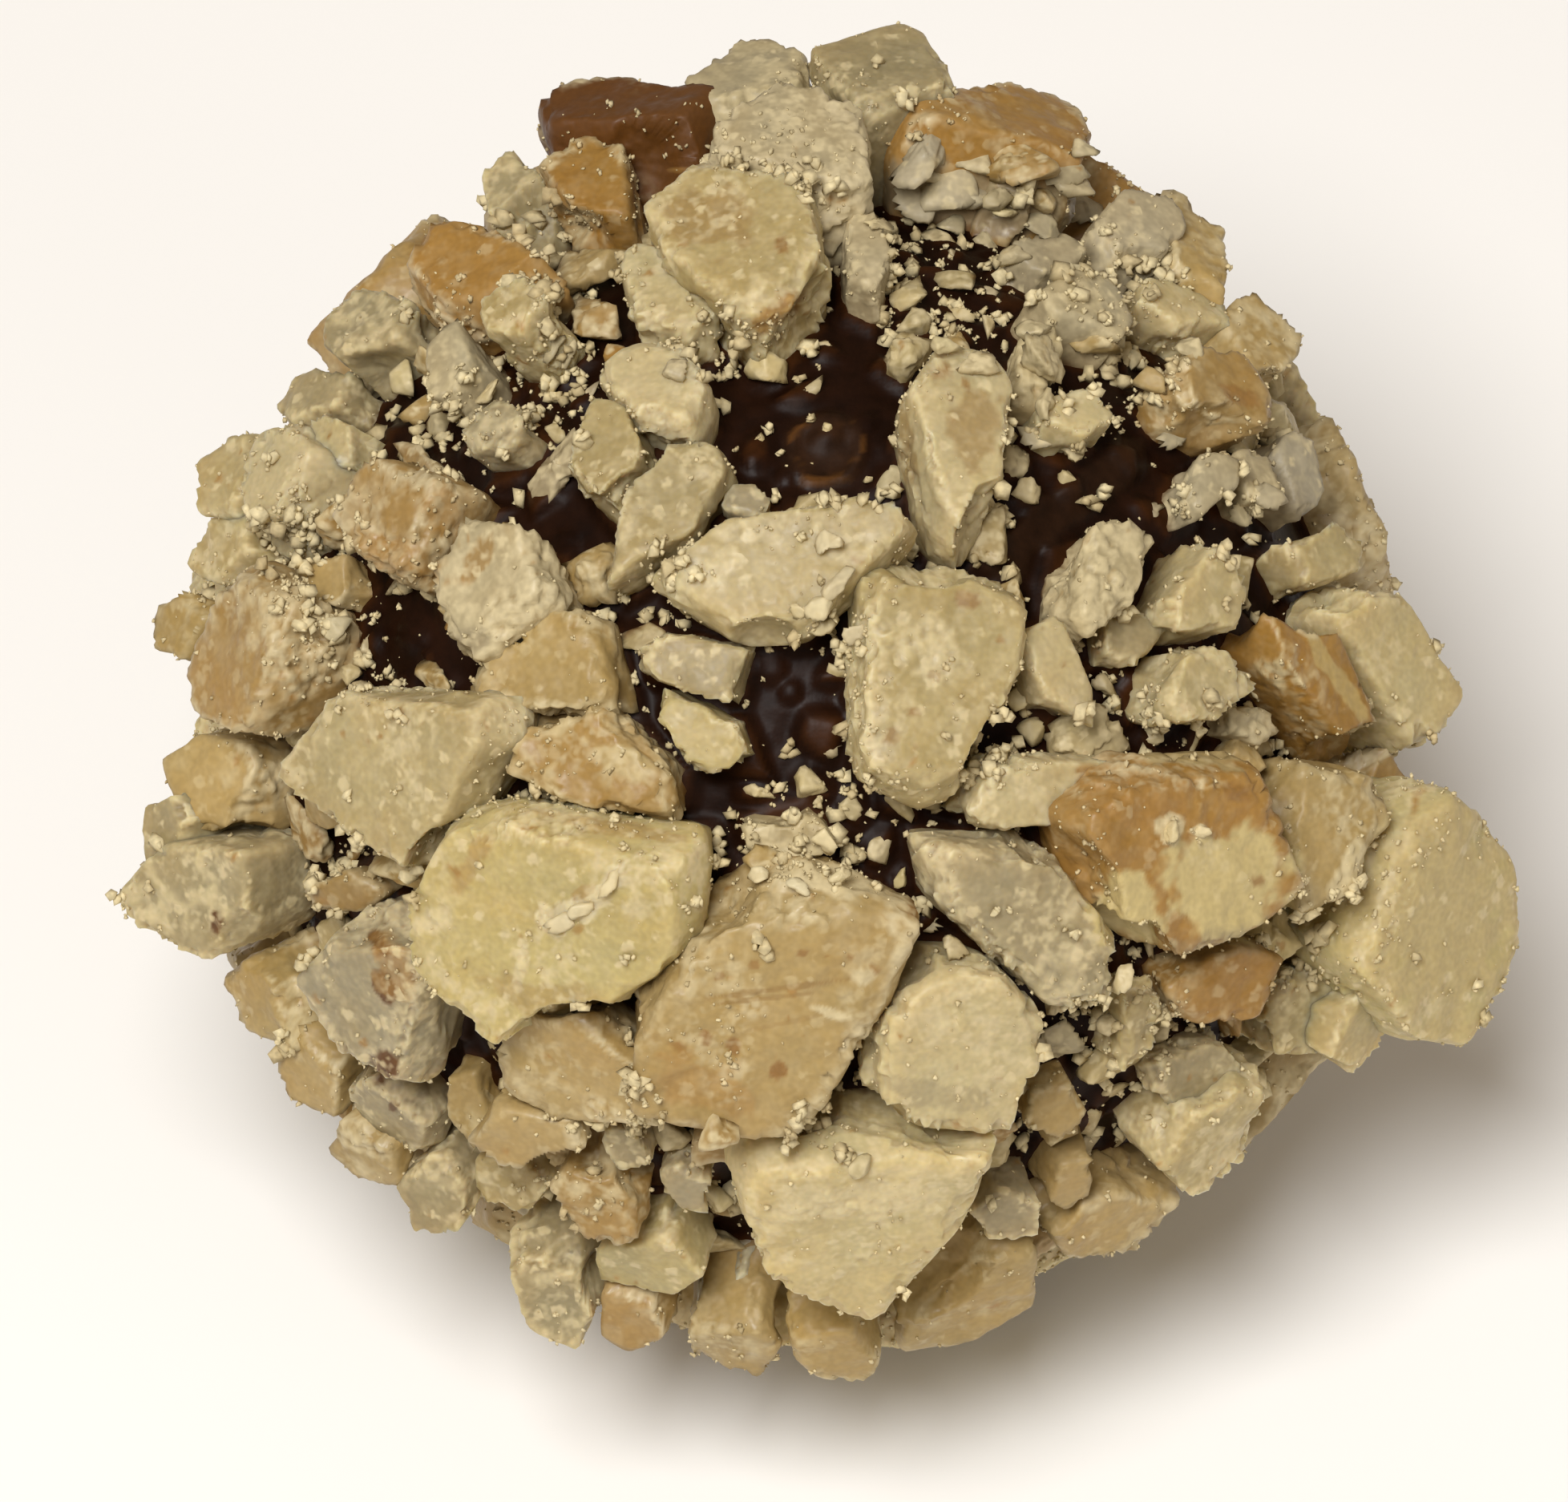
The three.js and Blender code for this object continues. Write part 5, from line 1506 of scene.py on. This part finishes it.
def spiral(count):
    """Directions spread evenly over a ball."""
    level = 1 - (2 * np.arange(count) + 1) / count
    flat = np.sqrt(1 - level**2)
    turn = GOLDEN_TURN * np.arange(count)
    return np.stack([flat * np.cos(turn), flat * np.sin(turn), level], 1)


def add_lump(mesh, chance, middle, radius, corners):
    spread = spiral(corners) * chance.uniform(0.68, 1.2, (corners, 1)) * chance.uniform(0.5, 1.35, 3)
    spread = radius * spread @ np.linalg.qr(chance.normal(size=(3, 3)))[0]
    made = [mesh.verts.new(corner + middle) for corner in spread]
    hull = bmesh.ops.convex_hull(mesh, input=made)
    bmesh.ops.delete(mesh, geom=hull["geom_interior"], context="VERTS")


# %% [markdown]
# A crumb is a cluster of a few grains that still hold together, so each shape is a handful of
# small lumps run into one another. A few different clusters are enough, because each copy is
# turned and sized at random.

# %% The shapes that are scattered
def lump_collection(name, count, lumps, corners, seed):
    chance = np.random.RandomState(seed)
    collection = bpy.data.collections.new(name)
    for index in range(count):
        cluster = bmesh.new()
        add_lump(cluster, chance, np.zeros(3), 0.32 if lumps > 1 else 0.5, corners)
        for _ in range(lumps - 1):
            middle = unit(chance.normal(size=3) * np.array([1.3, 1.0, 0.7])) * chance.uniform(0.2, 0.36)
            add_lump(cluster, chance, middle, chance.uniform(0.14, 0.26), corners)
        bmesh.ops.recalc_face_normals(cluster, faces=cluster.faces)
        mesh = bpy.data.meshes.new(f"{name}_{index}")
        cluster.to_mesh(mesh)
        cluster.free()
        mesh.polygons.foreach_set("use_smooth", np.ones(len(mesh.polygons), bool))
        collection.objects.link(bpy.data.objects.new(f"{name}_{index}", mesh))
    return collection


crumb_shapes = lump_collection("crumb_shapes", count=12, lumps=4, corners=8, seed=51)
grit_shapes = lump_collection("grit_shapes", count=6, lumps=2, corners=7, seed=53)
dust_shapes = lump_collection("dust_shapes", count=4, lumps=1, corners=7, seed=52)

# %% [markdown]
# The tree scatters points on the ground by the named number, sets a lump on each with a
# random turn and a size that is mostly small, and gives each a colour between two. Its
# inputs have names, so that one tree serves crumbs, grit and dust.

# %% The inputs of the scattering tree
LITTER_INPUTS = {
    "Ground": "Geometry", "Shapes": "Collection", "Where": "String", "Density": "Float",
    "Smallest": "Float", "Largest": "Float", "Lift": "Float", "Light": "Color", "Dark": "Color",
    "Own": "Float", "Finish": "Material", "Seed": "Int",
}


def litter_inputs(tree):
    for name, kind in LITTER_INPUTS.items():
        tree.interface.new_socket(name, in_out="INPUT", socket_type="NodeSocket" + kind)
    tree.interface.new_socket("Litter", in_out="OUTPUT", socket_type="NodeSocketGeometry")
    return tree.nodes.new("NodeGroupInput").outputs


# %% [markdown]
# A tree is nodes and links, so one helper adds a node and links it in one go. The other
# makes a random number that is mostly small, by raising one to a power, because small crumbs
# are the common ones. Seeds are fixed, so the crumbs fall the same way in each run.

# %% Helpers for the scattering tree
def joined(tree, kind, sources, settings=None, **values):
    """Add a node and link each source to the input that it is listed under."""
    node = add_node(tree, kind, settings, **values)
    for socket, source in sources.items():
        tree.links.new(source, node.inputs[socket])
    return node.outputs


def random_share(tree, power, seed):
    """A random number between 0 and 1 for each point, the more often small the higher the power."""
    chance = add_node(tree, "FunctionNodeRandomValue", {"data_type": "FLOAT"})
    chance.inputs["Seed"].default_value = seed
    lowered = add_node(tree, "ShaderNodeMath", {"operation": "POWER"})
    tree.links.new(chance.outputs[1], lowered.inputs[0])
    lowered.inputs[1].default_value = power
    return lowered.outputs[0]


# %% [markdown]
# The first half of the tree makes the lumps. A lump is lifted a little along the ground's
# normal, as a share of its own size, so that it lies on the ground and doesn't sit in it.

# %% Lumps on points
FULL_TURN = 6.283  # in radians
MULTIPLY = {"operation": "MULTIPLY"}
SIZE_SEED, TONE_SEED = 8, 16


def scattered_lumps(tree, given):
    where = joined(tree, "GeometryNodeInputNamedAttribute", {"Name": given["Where"]},
                   {"data_type": "FLOAT"})
    thick = joined(tree, "ShaderNodeMath", {0: where["Attribute"], 1: given["Density"]}, MULTIPLY)
    points = joined(tree, "GeometryNodeDistributePointsOnFaces",
                    {"Mesh": given["Ground"], "Density": thick[0], "Seed": given["Seed"]})
    shapes = joined(tree, "GeometryNodeCollectionInfo", {"Collection": given["Shapes"]},
                    Separate_Children=True, Reset_Children=True)
    turn = add_node(tree, "FunctionNodeRandomValue", {"data_type": "FLOAT_VECTOR"})
    turn.inputs["Max"].default_value = (FULL_TURN, FULL_TURN, FULL_TURN)
    rotation = joined(tree, "FunctionNodeEulerToRotation", {"Euler": turn.outputs["Value"]})
    size = joined(tree, "ShaderNodeMapRange", {"Value": random_share(tree, 2.2, SIZE_SEED),
                                               "To Min": given["Smallest"], "To Max": given["Largest"]})
    rise = joined(tree, "ShaderNodeMath", {0: size["Result"], 1: given["Lift"]}, MULTIPLY)
    off = joined(tree, "ShaderNodeVectorMath", {0: points["Normal"], "Scale": rise[0]},
                 {"operation": "SCALE"})
    raised = joined(tree, "GeometryNodeSetPosition", {"Geometry": points["Points"], "Offset": off[0]})
    lumps = joined(tree, "GeometryNodeInstanceOnPoints",
                   {"Points": raised["Geometry"], "Instance": shapes["Instances"],
                    "Rotation": rotation["Rotation"], "Scale": size["Result"]}, Pick_Instance=True)
    return lumps["Instances"]


# %% [markdown]
# The second half gives each lump one colour, stored on the instance, and takes in a share of
# the ground's own colour, because a crumb of a toasted nut is toasted too. Realize Instances
# turns the copies into real faces, and Set Material gives them their finish. A Mix node has
# the same names for its numbers, arrows and colours, so its colours go by their numbers.

# %% Colours, real faces and a finish
def coloured_litter(tree, given, lumps):
    blend = joined(tree, "ShaderNodeMix", {"Factor": random_share(tree, 1.8, TONE_SEED),
                                           6: given["Light"], 7: given["Dark"]}, {"data_type": "RGBA"})
    ground_shade = joined(tree, "GeometryNodeInputNamedAttribute", {}, {"data_type": "FLOAT_COLOR"},
                          Name="shade")
    tinted = joined(tree, "ShaderNodeMix", {"Factor": given["Own"], 6: blend[2],
                                            7: ground_shade["Attribute"]}, {"data_type": "RGBA"})
    shade = joined(tree, "GeometryNodeStoreNamedAttribute", {"Geometry": lumps, "Value": tinted[2]},
                   {"data_type": "FLOAT_COLOR", "domain": "INSTANCE"}, Name="shade")
    real = joined(tree, "GeometryNodeRealizeInstances", {"Geometry": shade["Geometry"]})
    finish = joined(tree, "GeometryNodeSetMaterial",
                    {"Geometry": real["Geometry"], "Material": given["Finish"]})
    joined(tree, "NodeGroupOutput", {"Litter": finish["Geometry"]})


litter_tree = bpy.data.node_groups.new("scatter", "GeometryNodeTree")
given = litter_inputs(litter_tree)
coloured_litter(litter_tree, given, scattered_lumps(litter_tree, given))
print("the scattering tree has", len(litter_tree.nodes), "nodes")

# %% [markdown]
# The modifier's inputs are set by their identifiers before the object is first evaluated.
# Then new_from_object takes the finished mesh, and the modifier goes with its object.

# %% From the ground to a finished piece
CRUMB_LIFT = 0.15  # how far a crumb's middle stands off the ground, as a share of its size
CRUMB_LIGHT, CRUMB_DARK = (0.670, 0.568, 0.338, 1), (0.440, 0.348, 0.185, 1)
PER_SQUARE_MM = 1e6  # the node counts points for each square metre


def scattered(name, shapes, where, density, smallest, largest, own, seed):
    """Litter of these shapes, the thickest at density for each square millimetre."""
    ground = add_object("ground", ground_mesh)
    modifier = ground.modifiers.new("scatter", "NODES")
    modifier.node_group = litter_tree
    wanted = {"Shapes": shapes, "Where": where, "Density": density * PER_SQUARE_MM,
              "Smallest": smallest * MM, "Largest": largest * MM, "Lift": CRUMB_LIFT,
              "Light": CRUMB_LIGHT, "Dark": CRUMB_DARK, "Own": own, "Finish": crumb_finish,
              "Seed": seed}
    for item in litter_tree.interface.items_tree:
        if item.in_out == "INPUT" and item.name in wanted:
            modifier[item.identifier] = wanted[item.name]
    graph = bpy.context.evaluated_depsgraph_get()
    mesh = bpy.data.meshes.new_from_object(ground.evaluated_get(graph))
    bpy.data.objects.remove(ground)
    mesh.name = name
    heights = np.empty(3 * len(mesh.vertices), np.float32)
    mesh.vertices.foreach_get("co", heights)
    heights[2::3] = np.maximum(heights[2::3], 0.0)
    mesh.vertices.foreach_set("co", heights)
    piece = add_object(name, mesh)
    print(name, "has", len(mesh.polygons), "triangles")
    return piece


# %% [markdown]
# There are three sizes of litter: crumbs of up to a millimetre, grit, and dust that only
# dulls the edges. The crumbs are the fewest, and they give a drift its shape. Afterwards the
# shapes and the ground have done their work, so they go.

# %% Scatter crumbs, grit and dust
crumbs = scattered("nut_crumbs", crumb_shapes, "crumbs", density=4.6, smallest=0.22, largest=0.95,
                   own=0.15, seed=7)
grit = scattered("nut_grit", grit_shapes, "grit", density=9.0, smallest=0.10, largest=0.32,
                 own=0.3, seed=9)
dust = scattered("nut_dust", dust_shapes, "dust", density=12.0, smallest=0.05, largest=0.16,
                 own=0.1, seed=8)
for collection in (crumb_shapes, grit_shapes, dust_shapes):
    for shape in list(collection.objects):
        bpy.data.objects.remove(shape)
    bpy.data.collections.remove(collection)
bpy.data.meshes.remove(ground_mesh)

# %% [markdown]
# ## The stage
#
# The truffle stands on a plain pale floor, wide enough to reach past the picture on all
# sides. It rides on no body, so it is not part of the truffle.

# %% Floor
FLOOR_HALF = 1.5


def pale_floor():
    material, shader = new_material("pale floor")
    shader.inputs["Base Color"].default_value = (0.86, 0.85, 0.83, 1)
    shader.inputs["Roughness"].default_value = 0.8
    mesh = bpy.data.meshes.new("floor")
    half = FLOOR_HALF
    corners = [(-half, -half, 0), (half, -half, 0), (half, half, 0), (-half, half, 0)]
    mesh.from_pydata(corners, [], [(0, 1, 2, 3)])
    mesh.materials.append(material)
    floor = add_object("floor", mesh)


pale_floor()

# %% [markdown]
# Soft light comes from large panels. The main one hangs high, a little to the left of the
# camera, so that cut faces on the best side are bright and the truffle's edges fall off into
# tan. The other lifts the shadows on the right, and the room adds a warm glow from all sides.

# %% Light
def soft_panel(name, place, size, power):
    light = bpy.data.lights.new(name, "AREA")
    light.shape = "DISK"
    light.size = size
    light.energy = power
    panel = add_object(name, light)
    panel.location = place
    aim = Vector(BALL_MIDDLE * MM) - Vector(place)
    panel.rotation_euler = aim.to_track_quat("-Z", "Y").to_euler()
    print(name, "light", power, "W at", round(100 * aim.length), "cm")


soft_panel("key", (-0.10, -0.24, 0.49), size=0.24, power=3.2)
soft_panel("fill", (0.30, -0.30, 0.20), size=0.30, power=0.20)
world = bpy.data.worlds.new("soft room")
world.use_nodes = True
world.node_tree.nodes["Background"].inputs["Color"].default_value = (1, 0.84, 0.66, 1)
world.node_tree.nodes["Background"].inputs["Strength"].default_value = 0.30
bpy.context.scene.world = world
bpy.context.scene.view_settings.view_transform = "Standard"

# %% [markdown]
# The camera looks down at the best side through a long lens, from the same distance that the
# nuts were drawn for, so that they line up with their outlines. The picture is 1956 points
# wide, and its middle lies a little left of and below the ball's. The lens is worked out so
# that one point of the picture is 0.02 mm at the ball.

# %% Camera
PICTURE_WIDTH = 1956
POINT_SIZE = 0.02
FRAME_ASIDE = (-0.44, -0.74)
camera_data = bpy.data.cameras.new("camera")
camera_data.sensor_width = 36.0
camera_data.lens = camera_data.sensor_width * SHOW_DISTANCE / (PICTURE_WIDTH * POINT_SIZE)
camera = add_object("camera", camera_data)
spot = BALL_MIDDLE + shown_point(*FRAME_ASIDE, 0) + TO_VIEWER * SHOW_DISTANCE
camera.location = spot * MM
camera.rotation_euler = (math.pi / 2 - SHOW_TILT, 0, 0)
bpy.context.scene.camera = camera
print("lens", round(camera_data.lens, 1), "mm")

# %% [markdown]
# ## The pieces of the truffle
#
# Every piece rides on the truffle's one body and takes the solid's place.

# %% Ride and replace
SLOTS = {"tan_nuts": "nut_toasted", "toasted_nuts": "nut_toasted", "amber_nuts": "nut_toasted",
         "tan_bits": "nut_toasted", "skin_nuts": "nut_skin"}
slot_of = {chocolate_ball: "chocolate", crumbs: "nut_crumb", grit: "nut_crumb", dust: "nut_crumb"}
for name, piece in nut_pieces.items():
    slot_of[piece] = SLOTS.get(name, "nut_pale")
for piece, slot in slot_of.items():
    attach(piece, "root")
    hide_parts("truffle")
print(len(slot_of), "pieces ride on the truffle")
